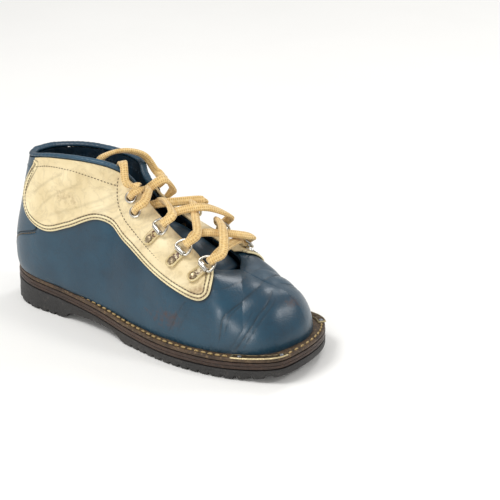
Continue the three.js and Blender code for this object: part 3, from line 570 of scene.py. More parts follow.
def leather(name, look):
    # mottled dye, grain, and the marks that the mesh carries: creases with painted shade, scuffs, dust,
    # seams, and a painted shadow along the panel's edge
    material, tree, shader = newMaterial(name, look["roughness"], Coat_Weight=look["coat"],
                                         Coat_Roughness=look["coatRoughness"],
                                         Specular_IOR_Level=look.get("specular", 0.5))
    place = objectPlace(tree)
    dye = useGroup(tree, mottleGroup, Vector=place, Scale=look["mottle"],
                   First=colour(look["deep"]), Second=colour(look["base"]))["Colour"]
    grain = useGroup(tree, grainGroup, Vector=place, Scale=look["grain"],
                     Wrinkle_Scale=look["wrinkleScale"], Wrinkles=look["wrinkles"])
    lines = times(tree, grain["Wrinkle"], look["lineShare"])
    dye = blendColour(tree, lines, dye, colour(look["line"]))
    rubbed = useGroup(tree, wearGroup, Vector=place, Scale=260.0,
                      Amount=times(tree, mark(tree, "scuff"), 0.5), Softness=0.3)["Mask"]
    dye = blendColour(tree, times(tree, rubbed, 0.75), dye, colour(look["scuff"]))
    dusty = useGroup(tree, wearGroup, Vector=place, Scale=420.0,
                     Amount=times(tree, mark(tree, "dust"), 0.42), Softness=0.3)["Mask"]
    dye = blendColour(tree, times(tree, dusty, 0.55), dye, colour(look["dust"]))
    # painted shade: creases and folds darkened towards the line colour
    dye = blendColour(tree, times(tree, mark(tree, "creaseShade"), look["creaseShadeShare"]), dye,
                      colour(look["line"]))
    dye = blendColour(tree, times(tree, mark(tree, "pale"), 0.8), dye, colour(look["edge"]))
    # the seam mark darkens joints; on the blue leather it also carries the painted shadow along the
    # panel's edge
    dye = blendColour(tree, times(tree, mark(tree, "seam"), 0.85), dye, colour(look["seam"]))
    flecks = useGroup(tree, wearGroup, Vector=place, Scale=170.0, Amount=0.045,
                      Softness=0.01)["Mask"]
    dye = blendColour(tree, times(tree, flecks, look["flecks"]), dye, colour("#d9d6cc"))
    rough = put(tree, "ShaderNodeMapRange", {"Value": plus(tree, rubbed, dusty),
                                             "To Min": look["roughness"],
                                             "To Max": look["roughness"] + 0.25})
    connect(tree, shader, Base_Color=dye, Roughness=rough.outputs["Result"],
            Normal=bump(tree, grain["Height"], look["bump"], 0.0004))
    return material


blueLook = {"base": "#164358", "deep": "#103346", "line": "#141d23", "lineShare": 0.16,
            "scuff": "#4e3429", "dust": "#65777c", "edge": "#44697e", "seam": "#14120f",
            "mottle": 22.0, "grain": 1500.0, "wrinkleScale": 55.0, "wrinkles": 0.35,
            "creaseShadeShare": 0.8, "flecks": 0.9, "roughness": 0.34, "coat": 0.2,
            "coatRoughness": 0.25, "bump": 0.3}
creamLook = {"base": "#f1e0b6", "deep": "#dbc697", "line": "#7a6548", "lineShare": 0.14,
             "scuff": "#9a7d59", "dust": "#a79878", "edge": "#fbeebf", "seam": "#3a2a1e",
             "mottle": 38.0, "grain": 1300.0, "wrinkleScale": 60.0, "wrinkles": 0.6,
             "creaseShadeShare": 0.7, "flecks": 0.0, "roughness": 0.5, "coat": 0.08,
             "coatRoughness": 0.4, "bump": 0.5}
blueLeather = leather("blueLeather", blueLook)
creamLeather = leather("creamLeather", creamLook)
pipingLeather = leather("pipingLeather", dict(blueLook, base="#1e4a60", deep="#143447",
                                              roughness=0.4, lineShare=0.1))
tongueLeather = leather("tongueLeather", dict(blueLook, base="#1b4157", deep="#122d3e",
                                              roughness=0.5, coat=0.1, flecks=0.3))
liningLeather = leather("liningLeather", dict(blueLook, base="#183a4e", deep="#102837",
                                              roughness=0.55, coat=0.0, wrinkles=0.8,
                                              wrinkleScale=75.0, flecks=0.0, bump=0.7))


def hide(name, base, deep, speck, roughness, stretch, mottle=70.0, amount=0.22):
    # worn sole leather or rubber, streaked along one way by the mapping's scale
    material, tree, shader = newMaterial(name, roughness)
    place = objectPlace(tree)
    streaky = put(tree, "ShaderNodeMapping", {"Vector": place, "Scale": stretch}).outputs["Vector"]
    body = useGroup(tree, mottleGroup, Vector=streaky, Scale=mottle, First=colour(deep),
                    Second=colour(base))["Colour"]
    worn = useGroup(tree, wearGroup, Vector=streaky, Scale=mottle * 4, Amount=amount,
                    Softness=0.12)["Mask"]
    worn = plus(tree, times(tree, worn, 0.7), times(tree, mark(tree, "dust"), 0.4))
    body = blendColour(tree, worn, body, colour(speck))
    body = blendColour(tree, times(tree, mark(tree, "seam"), 0.9), body, colour("#17110d"))
    grain = useGroup(tree, grainGroup, Vector=streaky, Scale=700.0, Wrinkle_Scale=130.0,
                     Wrinkles=0.6)["Height"]
    connect(tree, shader, Base_Color=body, Normal=bump(tree, grain, 0.6, 0.0005))
    return material


weltLeather = hide("weltLeather", "#57422e", "#2b1f16", "#8c7350", 0.55, (1, 1, 1), 90.0, 0.24)
midsoleLeather = hide("midsoleLeather", "#432c20", "#201611", "#6b4f38", 0.45, (1, 1, 9), 60.0)
rubber = hide("rubber", "#2a2a2b", "#1b1b1c", "#57514a", 0.6, (1, 1, 1), 60.0, 0.2)
insoleBoard = hide("insoleBoard", "#9c7b55", "#7d6040", "#b8966c", 0.8, (1, 1, 1))
corkFiller = hide("corkFiller", "#a8794a", "#7c5430", "#cfa673", 0.9, (1, 1, 1), 300.0)


def metal(name, base, tarnish, roughness, amount, mottle=160.0):
    # bright metal with dull tarnish in patches, and brighter along raised rims
    material, tree, shader = newMaterial(name, roughness, 1.0)
    place = objectPlace(tree)
    dull = useGroup(tree, wearGroup, Vector=place, Scale=mottle, Amount=amount,
                    Softness=0.2)["Mask"]
    body = blendColour(tree, dull, colour(base), colour(tarnish))
    body = blendColour(tree, times(tree, mark(tree, "pale"), 0.8), body, colour("#d8c79c"))
    rough = put(tree, "ShaderNodeMapRange", {"Value": dull, "To Min": roughness,
                                             "To Max": roughness + 0.35}).outputs["Result"]
    shine = put(tree, "ShaderNodeMapRange", {"Value": dull, "To Min": 1.0,
                                             "To Max": 0.35}).outputs["Result"]
    scratches = put(tree, "ShaderNodeTexNoise", {"Vector": place, "Scale": 900.0, "Detail": 3.0})
    connect(tree, shader, Base_Color=body, Roughness=rough, Metallic=shine,
            Normal=bump(tree, scratches.outputs["Fac"], 0.12, 0.0003))
    return material


nickel = metal("nickel", "#c9c5bb", "#6c5a46", 0.24, 0.24)
steel = metal("steel", "#8d9096", "#4c4a48", 0.4, 0.3)
plateMetal = metal("plateMetal", "#6b5a41", "#33271c", 0.4, 0.34, 240.0)
dullNickel = metal("dullNickel", "#a8977a", "#5c4936", 0.36, 0.34, 300.0)


def enamel():
    # cream enamel chipped to rust, most round the rivet where the mesh marks it
    material, tree, shader = newMaterial("enamel", 0.32, Coat_Weight=0.4, Coat_Roughness=0.2)
    place = objectPlace(tree)
    body = useGroup(tree, mottleGroup, Vector=place, Scale=120.0, First=colour("#b99f6c"),
                    Second=colour("#dccb98"))["Colour"]
    amount = plus(tree, times(tree, mark(tree, "rust"), 0.42), 0.1)
    chipped = useGroup(tree, wearGroup, Vector=place, Scale=420.0, Amount=amount,
                       Softness=0.05)["Mask"]
    body = blendColour(tree, chipped, body, colour("#5a3018"))
    rough = put(tree, "ShaderNodeMapRange", {"Value": chipped, "To Min": 0.32, "To Max": 0.8})
    connect(tree, shader, Base_Color=body, Roughness=rough.outputs["Result"],
            Normal=bump(tree, chipped, 0.4, -0.0002))
    return material


def cloth(name, base, deep, soilAndGapShade, roughness, sheen):
    # thread and braid: the mesh's braid mark runs from 0 in the gaps to 1 on the strands, and the gaps
    # get painted shade
    material, tree, shader = newMaterial(name, roughness, Sheen_Weight=sheen, Sheen_Roughness=0.5)
    place = objectPlace(tree)
    yarn = useGroup(tree, mottleGroup, Vector=place, Scale=500.0, First=colour(deep),
                    Second=colour(base))["Colour"]
    gapShade = put(tree, "ShaderNodeMapRange", {"Value": mark(tree, "braid"), "From Min": 0.05,
                                            "From Max": 0.6, "To Min": 1.0, "To Max": 0.0})
    soiled = useGroup(tree, wearGroup, Vector=place, Scale=45.0, Amount=0.3,
                      Softness=0.3)["Mask"]
    body = blendColour(tree, times(tree, soiled, 0.35), yarn, colour(soilAndGapShade))
    # painted shade in the gaps between the braid's strands
    body = blendColour(tree, times(tree, gapShade.outputs["Result"], 0.75), body, colour(soilAndGapShade))
    fibres = put(tree, "ShaderNodeTexNoise", {"Vector": place, "Scale": 2600.0, "Detail": 4.0})
    connect(tree, shader, Base_Color=body, Normal=bump(tree, fibres.outputs["Fac"], 0.5, 0.0003))
    return material


enamelCream = enamel()
laceBraid = cloth("laceBraid", "#efd398", "#dfb973", "#9a6c34", 0.85, 0.3)
brownThread = cloth("brownThread", "#5b4331", "#3b2a1e", "#2a1d15", 0.75, 0.1)
seamThread = cloth("seamThread", "#8a7450", "#5f4c33", "#3a2c1d", 0.8, 0.1)
blueThread = cloth("blueThread", "#27485c", "#18303f", "#101d27", 0.7, 0.1)
weltThread = cloth("weltThread", "#c2a873", "#8f7547", "#4e3a25", 0.8, 0.1)


def tipPlastic():
    material, tree, shader = newMaterial("tipPlastic", 0.4)
    scuffed = useGroup(tree, wearGroup, Vector=objectPlace(tree), Scale=600.0, Amount=0.3,
                       Softness=0.2)["Mask"]
    connect(tree, shader, Base_Color=blendColour(tree, scuffed, colour("#2b3b48"),
                                                 colour("#4d5a63")))
    return material


lacePlastic = tipPlastic()
print("materials made")


# Borders between the leathers, as places (u, t) on the last

borderPoints = [[0.12, 0.95, 0.126], [0.102, 0.8, 0.156], [0.105, 0.64, 0.186],
                [0.14, 0.49, 0.212], [0.2, 0.42, 0.24], [0.25, 0.49, 0.27], [0.31, 0.61, 0.313],
                [0.37, 0.6, 0.36], [0.43, 0.51, 0.415], [0.5, 0.44, 0.48], [0.57, 0.395, 0.545],
                [0.62, 0.405, 0.59], [0.649, 0.52, 0.62], [0.66, 0.7, 0.64], [0.665, 0.88, 0.655]]
panelBorder = curve(borderPoints)
lobeAt = 3.6 / (len(borderPoints) - 1)
backSeam = profile([[0, 0.045], [0.12, 0.05], [0.22, 0.064], [0.33, 0.11], [0.4, 0.17],
                    [0.47, 0.155], [0.54, 0.128], [0.68, 0.109], [0.85, 0.108], [0.93, 0.11],
                    [1, 0.122]])
seamGap, seamFoot, seamTop = 0.0015, 2 / 24, 10 / 24
waistSeamAt, quarterFoot, throatFoot = 0.61, 0.15, 0.7


def panelPlace(a, b):
    # a runs along the panel's lower border, b from there to the top line
    p = panelBorder(a)
    return mix(p[..., 0], p[..., 2], b), mix(p[..., 1], 1.0, b)


def panelHeight(side, a):
    return np.linalg.norm(lastPoint(side, *panelPlace(a, 1.0)) - lastPoint(side, *panelPlace(a, 0.0)),
                          axis=-1)


def panelLift(side, a, b):
    low, high = layers["underlap"] + 2.5, layers["underlap"] + layers["overlapWidth"]
    return layers["overlapRise"] * (1 - smoothstep(b * panelHeight(side, a), low, high))


def quarterPlace(side, a, j):
    # columns from the back seam, then along under the panel to the throat
    a, j = np.broadcast_arrays(np.asarray(a, float), np.asarray(j, float))
    seamShare = 0.2
    seamT = mix(seamFoot, seamTop, np.minimum(a / seamShare, 1))
    along = np.maximum((a - seamShare) / (1 - seamShare), 0)
    border = mix(lobeAt, 1.0, along)
    underU, underT = panelPlace(border, np.minimum(layers["underlap"] / panelHeight(side, border), 0.7))
    ease = smoothstep(along, 0, 0.06)
    cornerU = backSeam(seamTop) + seamGap
    isSeam = a < seamShare
    topU = np.where(isSeam, backSeam(seamT) + seamGap, mix(cornerU, underU, ease))
    topT = np.where(isSeam, seamT, mix(seamTop, underT, ease))
    base = np.where(isSeam, mix(0.047, quarterFoot, a / seamShare), mix(quarterFoot, throatFoot, along))
    return mix(base, topU, j), topT * j


def throatPlace(side, i, j):
    # columns between the facing's front end and the middle of the throat
    startU, startT = quarterPlace(side, 1.0, 1.0)
    topU, topT = mix(startU, throatU, i), np.minimum(startT + i * 3, 1)
    return mix(mix(throatFoot, throatU, i), topU, j), topT * j


# Surface marks: creases with painted shade, scuffs, dust

# lines across the forepart as (u, t) from the welt over the ridge
creaseRuns = [
    {"line": [(0.67, 0.12), (0.68, 0.33), (0.7, 0.44), (0.73, 0.55), (0.78, 0.71), (0.875, 0.98)],
     "depth": 0.6},
    {"line": [(0.683, 0.2), (0.695, 0.36), (0.717, 0.47), (0.752, 0.6), (0.81, 0.79)], "depth": 0.35},
    {"line": [(0.712, 0.05), (0.74, 0.2), (0.76, 0.31), (0.785, 0.43), (0.825, 0.56), (0.88, 0.76)],
     "depth": 0.6},
    {"line": [(0.733, 0.07), (0.762, 0.23), (0.79, 0.36), (0.825, 0.48), (0.875, 0.63)], "depth": 0.4},
    {"line": [(0.697, 0.05), (0.722, 0.2), (0.742, 0.33), (0.765, 0.45)], "depth": 0.25},
    {"line": [(0.66, 0.62), (0.695, 0.7), (0.72, 0.77), (0.755, 0.9)], "depth": 0.3},
    {"line": [(0.555, 0.07), (0.568, 0.17), (0.58, 0.26), (0.592, 0.34)], "depth": 0.4},
    {"line": [(0.575, 0.09), (0.588, 0.19), (0.602, 0.3)], "depth": 0.22}]
creaseWidth, valleyWidth, swellWidth = 0.5, 3.2, 7.0

# patches in the shoe's millimetres: centre, reach, strength
scuffPatches = [((32, -47, 34), 12, 0.75), ((16, -45, 32), 14, 0.6), ((-2, -42, 35), 10, 0.35),
                ((106, -3, 51), 7, 0.8), ((110, 4, 47), 6, 0.6), ((106, -12, 49), 6, 0.5),
                ((96, 26, 42), 9, 0.5), ((60, -49, 28), 14, 0.35), ((-138, 0, 45), 12, 0.4),
                ((40, 38, 30), 12, 0.5)]


def patches(points, rows):
    total = np.zeros(points.shape[:-1])
    for centre, reach, strength in rows:
        total += strength * np.exp(-((points - np.array(centre)) ** 2).sum(-1) / reach ** 2)
    return np.clip(total, 0, 1)


def creasing(side, points):
    # depth below the surface, and how much painted shade darkens it: narrow grooves with a soft swell
    # on either side
    depth, creaseShading = np.zeros(points.shape[:-1]), np.zeros(points.shape[:-1])
    for run in creaseRuns:
        places = curve(run["line"])(np.linspace(0, 1, 160))
        line = lastPoint(side, places[:, 0], places[:, 1])
        away = nearest(points, line)
        waver = 0.75 + 0.25 * np.sin(points[..., 2] * 0.9 + points[..., 0] * 0.35)
        groove = np.exp(-(away / creaseWidth) ** 2) * waver
        depth += run["depth"] * (0.6 * groove + 0.35 * np.exp(-(away / valleyWidth) ** 2)
                                 - 0.15 * np.exp(-((away - swellWidth) / 3.4) ** 2))
        creaseShading = np.maximum(creaseShading, (0.8 * groove + 0.2 * np.exp(-(away / 1.6) ** 2)) * run["depth"] / 0.6)
    return depth, creaseShading


def unevenness(points):
    # slow waves in the leather, a fraction of a millimetre high
    x, y, z = points[..., 0], points[..., 1], points[..., 2]
    return (0.16 * np.sin(x * 0.11 + z * 0.07 + 1.3) + 0.12 * np.sin(z * 0.17 - y * 0.08 + x * 0.03)
            + 0.08 * np.sin(x * 0.23 + y * 0.19))


def commonMarks(points):
    # toe scuffs, dust that gathers above the welt, and a dark line where leather meets welt
    above = points[..., 2] - midsoleTop(points[..., 0]) - 4
    heelDust = patches(points, [((-136, -8, 48), 30, 1.0)])
    return {"scuff": patches(points, scuffPatches),
            "dust": np.clip(1 - above / 9, 0, 1) * 0.8 + 0.25 * heelDust,
            "seam": 0.75 * np.exp(-np.maximum(above, 0) / 1.2)}


def leatherPatch(side, u, t, lift=0.0, sink=0.0, marks=None, keep=None):
    # one grid of leather with thickness; lift raises both faces and sink lowers the outer
    surface = lastPoint(side, u, t)
    outer = offPoint(side, u, t, layers["leatherOuter"] + lift - sink)
    under = layers["leatherInner"] + np.asarray(lift, float)
    inner = offPoint(side, u, t, np.broadcast_to(under, surface.shape[:-1]))
    skirt = layers["skirt"] * np.exp(-(t / 0.02) ** 2)   # the foot reaches down to the welt
    outer[..., 2] -= skirt
    inner[..., 2] -= skirt
    row = {"outer": outer, "inner": inner, "isFlipped": side == medial,
           "marks": {**commonMarks(surface), **(marks or {})}}
    if keep is not None:
        row["keep"] = keep
    return row


# Lace: its route repeats the model's

lace = {"width": 7.0, "thickness": 3.5, "step": 0.55, "around": 24, "braidPitch": 3.1,
        "braidDepth": 0.22, "core": 1.9, "room": 0.9}
eyeletPlaces = [(0.43, 0.87), (0.45, 0.78)]
ringPlaces = [(0.508, 0.715), (0.569, 0.675), (0.622, 0.68)]
ringNames, eyeletNames = ["upper", "middle", "lower"], ["top", "second"]
hardware = {"pivotX": 6.4, "pivotZ": 2.75, "wire": 1.0, "reach": 11.0, "clipHalf": 4.4,
            "clipThickness": 1.1, "rivetX": -3.2, "seat": 0.5, "eyeletBore": 2.9,
            "eyeletFlange": 4.7, "hole": 3.3, "washer": -6.5, "foot": -7.1,
            "eyeOuter": 2.25, "eyeBore": 1.35}


def hardwareFrame(side, place):
    # origin on the leather, x towards the facing's edge, y along it, z out of the leather
    u, t = place
    z = lastNormal(side, u, t)
    along = topPoint(side, u + 0.01) - topPoint(side, u - 0.01)
    y = unit(along - z * (along @ z)) * side
    return offPoint(side, u, t, layers["leatherOuter"]), np.cross(y, z), y, z


def ringPass(side, index, lean):
    # in under the bow, up through the ring, out over it
    place = hardwareFrame(side, ringPlaces[index])
    bowX = hardware["pivotX"] + hardware["reach"] - hardware["wire"]
    bowZ = hardware["pivotZ"]
    radius = hardware["wire"] + lace["core"] + lace["room"]
    angle = math.pi * (1.5 - np.arange(4) / 3)
    middle = np.column_stack([bowX + radius * np.cos(angle), lean * (np.arange(4) - 1.5) * 1.4,
                              bowZ + radius * np.sin(angle)])
    row = np.vstack([[bowX + 6, -3.2 * lean, bowZ - radius], middle,
                     [bowX + 6, 3.2 * lean, bowZ + radius]])
    return placed(row, place), np.tile(place[2], (len(row), 1)), np.ones(len(row))


def eyeletPass(side, index):
    place = hardwareFrame(side, eyeletPlaces[index])
    row = np.array([[12, 0, -10.8], [4, 0, -9.8], [0.4, 0, -7.2], [0, 0, -1], [1, 0, 4],
                    [5.5, 0, 6.4], [11, 0, 6]], float)
    narrow = np.array([1, 0.85, 0.68, 0.66, 0.7, 0.9, 1])
    return placed(row, place), np.tile(place[2], (len(row), 1)), narrow


def laceHalf(side, lifts, tail):
    other = -side
    passes = [ringPass(side, 2, side), ringPass(other, 1, other), ringPass(side, 0, side),
              eyeletPass(other, 1), eyeletPass(side, 0)]
    points, across, narrow = [passes[0][0]], [passes[0][1]], [passes[0][2]]
    for before, after, lift in zip(passes[:-1], passes[1:], lifts):
        middle = (before[0][-1] + after[0][0]) / 2 + np.array([lift * 0.4, 0, lift])
        sameWay = np.sign(before[1][-1] @ after[1][0])
        points += [middle[None], after[0]]
        across += [(before[1][-1] + sameWay * after[1][0])[None], after[1]]
        narrow += [np.ones(1), after[2]]
    tail = np.array(tail, float)
    return (np.vstack([*points, tail]), np.vstack([*across, np.tile([1.0, 0, 0.4], (len(tail), 1))]),
            np.concatenate([*narrow, np.ones(len(tail))]))


lateralTail = [[-30, -19, 121], [-35, -15.5, 133.5], [-42, -9, 131], [-48, -11, 117],
               [-57, -13, 98], [-68, -17, 78], [-79, -20, 57]]
medialTail = [[-30, 19, 119], [-38, 14, 132], [-50, 2, 137], [-60, -9, 133], [-67, -13, 120],
              [-75, -15.5, 100], [-86, -19, 76], [-97, -19, 55]]


def centripetal(points, steps):
    # Catmull-Rom whose spans are timed by the square root of their lengths
    p = np.vstack([2 * points[:1] - points[1:2], points, 2 * points[-1:] - points[-2:-1]])
    rows = []
    s = np.linspace(0, 1, steps, endpoint=False)[:, None]
    for i in range(len(points) - 1):
        a, b, c, d = p[i:i + 4]
        h0, h1, h2 = (max(np.linalg.norm(q - r) ** 0.5, 1e-6) for q, r in ((b, a), (c, b), (d, c)))
        t0 = ((b - a) / h0 - (c - a) / (h0 + h1) + (c - b) / h1) * h1
        t1 = ((c - b) / h1 - (d - b) / (h1 + h2) + (d - c) / h2) * h1
        rows.append(b + t0 * s + (3 * c - 3 * b - 2 * t0 - t1) * s ** 2
                    + (2 * b - 2 * c + t0 + t1) * s ** 3)
    return np.vstack([*rows, points[-1:]])


def laceRoute():
    first = laceHalf(medial, (2, 2, 1, 4), medialTail)
    second = laceHalf(lateral, (7, 7, 5, 9), lateralTail)
    middle = (first[0][0] + second[0][0]) / 2 + np.array([0.6, 0, 1.5])
    points = np.vstack([first[0][::-1], middle, second[0]])
    across = np.vstack([first[1][::-1], second[1][0], second[1]])
    narrow = np.concatenate([first[2][::-1], [1.0], second[2]])
    for i in range(1, len(across)):
        if across[i] @ across[i - 1] < 0:
            across[i] = -across[i]
    line = centripetal(points, 12)
    at = np.linspace(0, len(points) - 1, len(line))
    widths = np.stack([np.interp(at, np.arange(len(points)), across[:, k]) for k in range(3)], 1)
    narrowness = np.interp(at, np.arange(len(points)), narrow)
    return line, widths, narrowness[:, None]


def makeLace():
    line, widths, narrowness = laceRoute()
    middle, (across, narrow) = resample(line, [widths, narrowness], lace["step"])
    middle = np.vstack([line[:1], middle, line[-1:]])
    across = np.vstack([across[:1], across, across[-1:]])
    narrow = np.concatenate([narrow[:1], narrow, narrow[-1:]])[:, 0]
    tangent = unit(np.gradient(middle, axis=0))
    across = unit(across - tangent * (across * tangent).sum(-1, keepdims=True))
    out = np.cross(tangent, across)
    run = np.concatenate([[0], np.cumsum(np.linalg.norm(np.diff(middle, axis=0), axis=1))])
    angle = 2 * np.pi * np.arange(lace["around"]) / lace["around"]
    # a rounded flat section, with braid strands crossing as chevrons along it
    s, w = run[:, None] / lace["braidPitch"], angle[None] / (2 * np.pi)
    over = np.sin(2 * np.pi * (s + 4 * w)) * np.sin(2 * np.pi * (s - 4 * w))
    strand = 0.5 + 0.5 * np.sign(over) * np.abs(over) ** 0.6
    swell = 1 + lace["braidDepth"] * (strand - 0.6) * 0.35
    power = 0.72
    wide = np.sign(np.cos(angle)) * np.abs(np.cos(angle)) ** power * lace["width"] / 2
    thick = np.sign(np.sin(angle)) * np.abs(np.sin(angle)) ** power * lace["thickness"] / 2
    wide = wide[None] * narrow[:, None] * swell
    thick = thick[None] * (1 + 0.25 * (1 - narrow[:, None])) * swell
    thick = thick + 0.18 * (strand - 0.5) * np.sin(angle)[None]
    rings = (middle[:, None] + wide[..., None] * across[:, None] + thick[..., None] * out[:, None])
    mesh = loftMesh("lace", rings, attributes={"braid": strand.ravel()})
    piece = makeObject("lace", mesh, laceBraid, sharp=180)
    tips = [makeAglet(name, middle[end], unit(middle[end] - middle[near]))
            for name, end, near in (("lateralTip", 0, 4), ("medialTip", -1, -5))]
    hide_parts("lace")
    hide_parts("lateral_aglet")
    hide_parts("medial_aglet")
    path = (middle[::4] + modelShift) / 1000
    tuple(path[0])


def makeAglet(name, end, along):
    # a tip crimped on the lace: a tube with a rolled rim and a blunt nose
    side = unit(np.cross(along, [0.0, 0, 1.0]))
    place = (end, side, np.cross(along, side), along)
    points = roundedPath([(0, -0.6), (2.25, -0.6), (2.25, 0.6), (1.95, 1.0), (1.7, 15.2), (1.2, 16.2),
                          (0, 16.3)], 0.4)
    piece = makeObject(name, revolve(points, 20, place, name), lacePlastic)
    return piece


makeLace()


# Leathers

grids = {"vamp": (300, 76), "toe": (96, 76), "throat": (20, 76), "quarter": (190, 76),
         "backstay": (60, 130), "panel": (420, 58), "lining": (150, 60), "tongue": (90, 40)}


def unitGrid(columns, rows):
    return np.meshgrid(np.linspace(0, 1, columns), np.linspace(0, 1, rows), indexing="ij")


def holesCut(points, side, places, radius):
    # False for the faces whose middle lies within radius of an eyelet's axis
    middle = (points[:-1, :-1] + points[1:, 1:]) / 2
    keep = np.ones(middle.shape[:2], bool)
    for place in places:
        origin, _, _, z = hardwareFrame(side, place)
        across = middle - origin
        depth = across @ z
        away = np.linalg.norm(across - depth[..., None] * z, axis=-1)
        keep &= ~((away < radius) & (np.abs(depth) < 9))
    return keep


def bluePatch(side, u, t, seamLines=()):
    # blue leather with its creases; a seam line is a cut edge and how far in its stitches lie:
    # the edge is pared thin and pale, and the leather puffs up on both sides of the stitches
    surface = lastPoint(side, u, t)
    depth, creaseShading = creasing(side, surface)
    sink = depth * (1 - 0.75 * smoothstep(t, 0.72, 1.0)) - unevenness(surface)
    # painted shade in the creases
    marks = {"creaseShade": creaseShading}
    pale = np.zeros(surface.shape[:-1])
    for line, inset in seamLines:
        away = nearest(surface, line)
        stitched = 0.35 * np.exp(-((away - inset) / 0.7) ** 2)
        puffed = 0.2 * np.exp(-((away - inset - 2) / 1.2) ** 2)
        sink = sink + stitched - puffed
        sink = sink + 0.9 * np.exp(-(away / 0.5) ** 2)
        pale = np.maximum(pale, np.exp(-(away / 0.6) ** 2))
        groove = 0.8 * np.exp(-((away - 0.9) / 0.5) ** 2)
        marks["seam"] = np.maximum(commonMarks(surface)["seam"], groove)
    marks["scuff"] = np.clip(patches(surface, scuffPatches) + 0.6 * pale, 0, 1)
    # painted shadow: the blue leather darkens along the edge of the cream panel that lies over it, kept
    # in the seam mark
    shadow = 0.85 * np.exp(-(nearest(surface, panelEdgeLine(side)) / 1.3) ** 2)
    marks["seam"] = np.maximum(marks.get("seam", commonMarks(surface)["seam"]), shadow)
    return leatherPatch(side, u, t, 0.0, sink, marks)


def lineOnLast(side, u, t, distance=0.0):
    return offPoint(side, u, t, np.broadcast_to(distance, np.shape(u)))


def backEdge(side, count=220):
    # the quarter's rear edge, from the feather line up to its corner under the panel
    t = np.linspace(0.01, seamTop, count)
    return lineOnLast(side, backSeam(t) + seamGap, t)


def waistEdge(count=160):
    u, t = quarterPlace(medial, waistSeamAt, np.linspace(0, 1, count))
    return lineOnLast(medial, u, t)


def makeVamp():
    rear = [(backEdge(lateral), 1.9)]
    waist = [(waistEdge(), 1.7)]
    i, j = unitGrid(*grids["vamp"])
    patchRows = [bluePatch(lateral, *quarterPlace(lateral, i, j), rear)]
    ti, tj = unitGrid(*grids["throat"])
    ei, ej = unitGrid(*grids["toe"])
    for side in sides:
        patchRows.append(bluePatch(side, *throatPlace(side, ti, tj)))
        patchRows.append(bluePatch(side, mix(throatU, 1.0, ei), ej))
    mi, mj = unitGrid(grids["vamp"][0] // 3, grids["vamp"][1])
    patchRows.append(bluePatch(medial, *quarterPlace(medial, mix(waistSeamAt, 1.0, mi), mj), waist))
    piece = makeObject("vamp", sheetMesh("vamp", patchRows), blueLeather)
    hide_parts("vamp")


def makeMedialQuarter():
    i, j = unitGrid(*grids["quarter"])
    u, t = quarterPlace(medial, (waistSeamAt - 0.002) * i, j)
    patch = bluePatch(medial, u, t, [(backEdge(medial), 1.9)])
    piece = makeObject("medialQuarter", sheetMesh("medialQuarter", [patch]), blueLeather)
    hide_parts("medial_quarter")


def makeBackstay():
    i, j = unitGrid(*grids["backstay"])
    rows = []
    for side in sides:
        u, t = backSeam(j) * i, j
        surface = lastPoint(side, u, t)
        line = lineOnLast(side, backSeam(np.linspace(0, 1, 200)), np.linspace(0, 1, 200))
        away = nearest(surface, line)
        fold = sum(0.22 * np.exp(-((surface[..., 2] - z - 0.25 * np.abs(surface[..., 1])) / 1.1) ** 2)
                   for z in (84, 88.5, 97))
        sink = 0.5 * np.exp(-(away / 0.5) ** 2) - unevenness(surface) + fold
        # painted shade in the folds
        marks = {"creaseShade": np.clip(fold * 2.6, 0, 0.7),
                 "seam": np.maximum(commonMarks(surface)["seam"], 0.6 * np.exp(-(away / 0.5) ** 2))}
        rows.append(leatherPatch(side, u, t, 0.0, sink, marks))
    piece = makeObject("backstay", sheetMesh("backstay", rows), blueLeather)
    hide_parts("backstay")


# the panel's border: rows of stitches sunk between soft ridges, and a pale cut edge
panelLook = {"edgeRows": 26, "edgeReach": 9.0, "stitchRows": (1.8, 4.4), "grooveDepth": 0.42,
             "ridgeHeight": 0.22, "creaseDepth": 0.3}
# long soft folds over the ankle, as (u, t)
ankleFolds = [[(0.2, 0.55), (0.26, 0.66), (0.33, 0.8), (0.37, 0.88)],
              [(0.17, 0.6), (0.2, 0.72), (0.25, 0.84)],
              [(0.3, 0.66), (0.345, 0.74), (0.38, 0.8), (0.41, 0.83)],
              [(0.36, 0.63), (0.395, 0.69), (0.425, 0.74)],
              [(0.27, 0.58), (0.33, 0.7), (0.375, 0.75)],
              [(0.14, 0.7), (0.17, 0.8), (0.2, 0.88)]]


# brown smudges in the shoe's millimetres: centre, reach, strength
panelSmudges = [((57, -40, 55), 8, 1.0), ((48, -40, 56), 8, 0.9), ((-88, -29, 102), 8, 0.75),
                ((-76, -28, 100), 8, 0.7), ((57, 40, 55), 8, 0.8)]


def panelEdgeLine(side, count=700):
    a = np.linspace(0, 1, count)
    return lineOnLast(side, *panelPlace(a, 0.0))


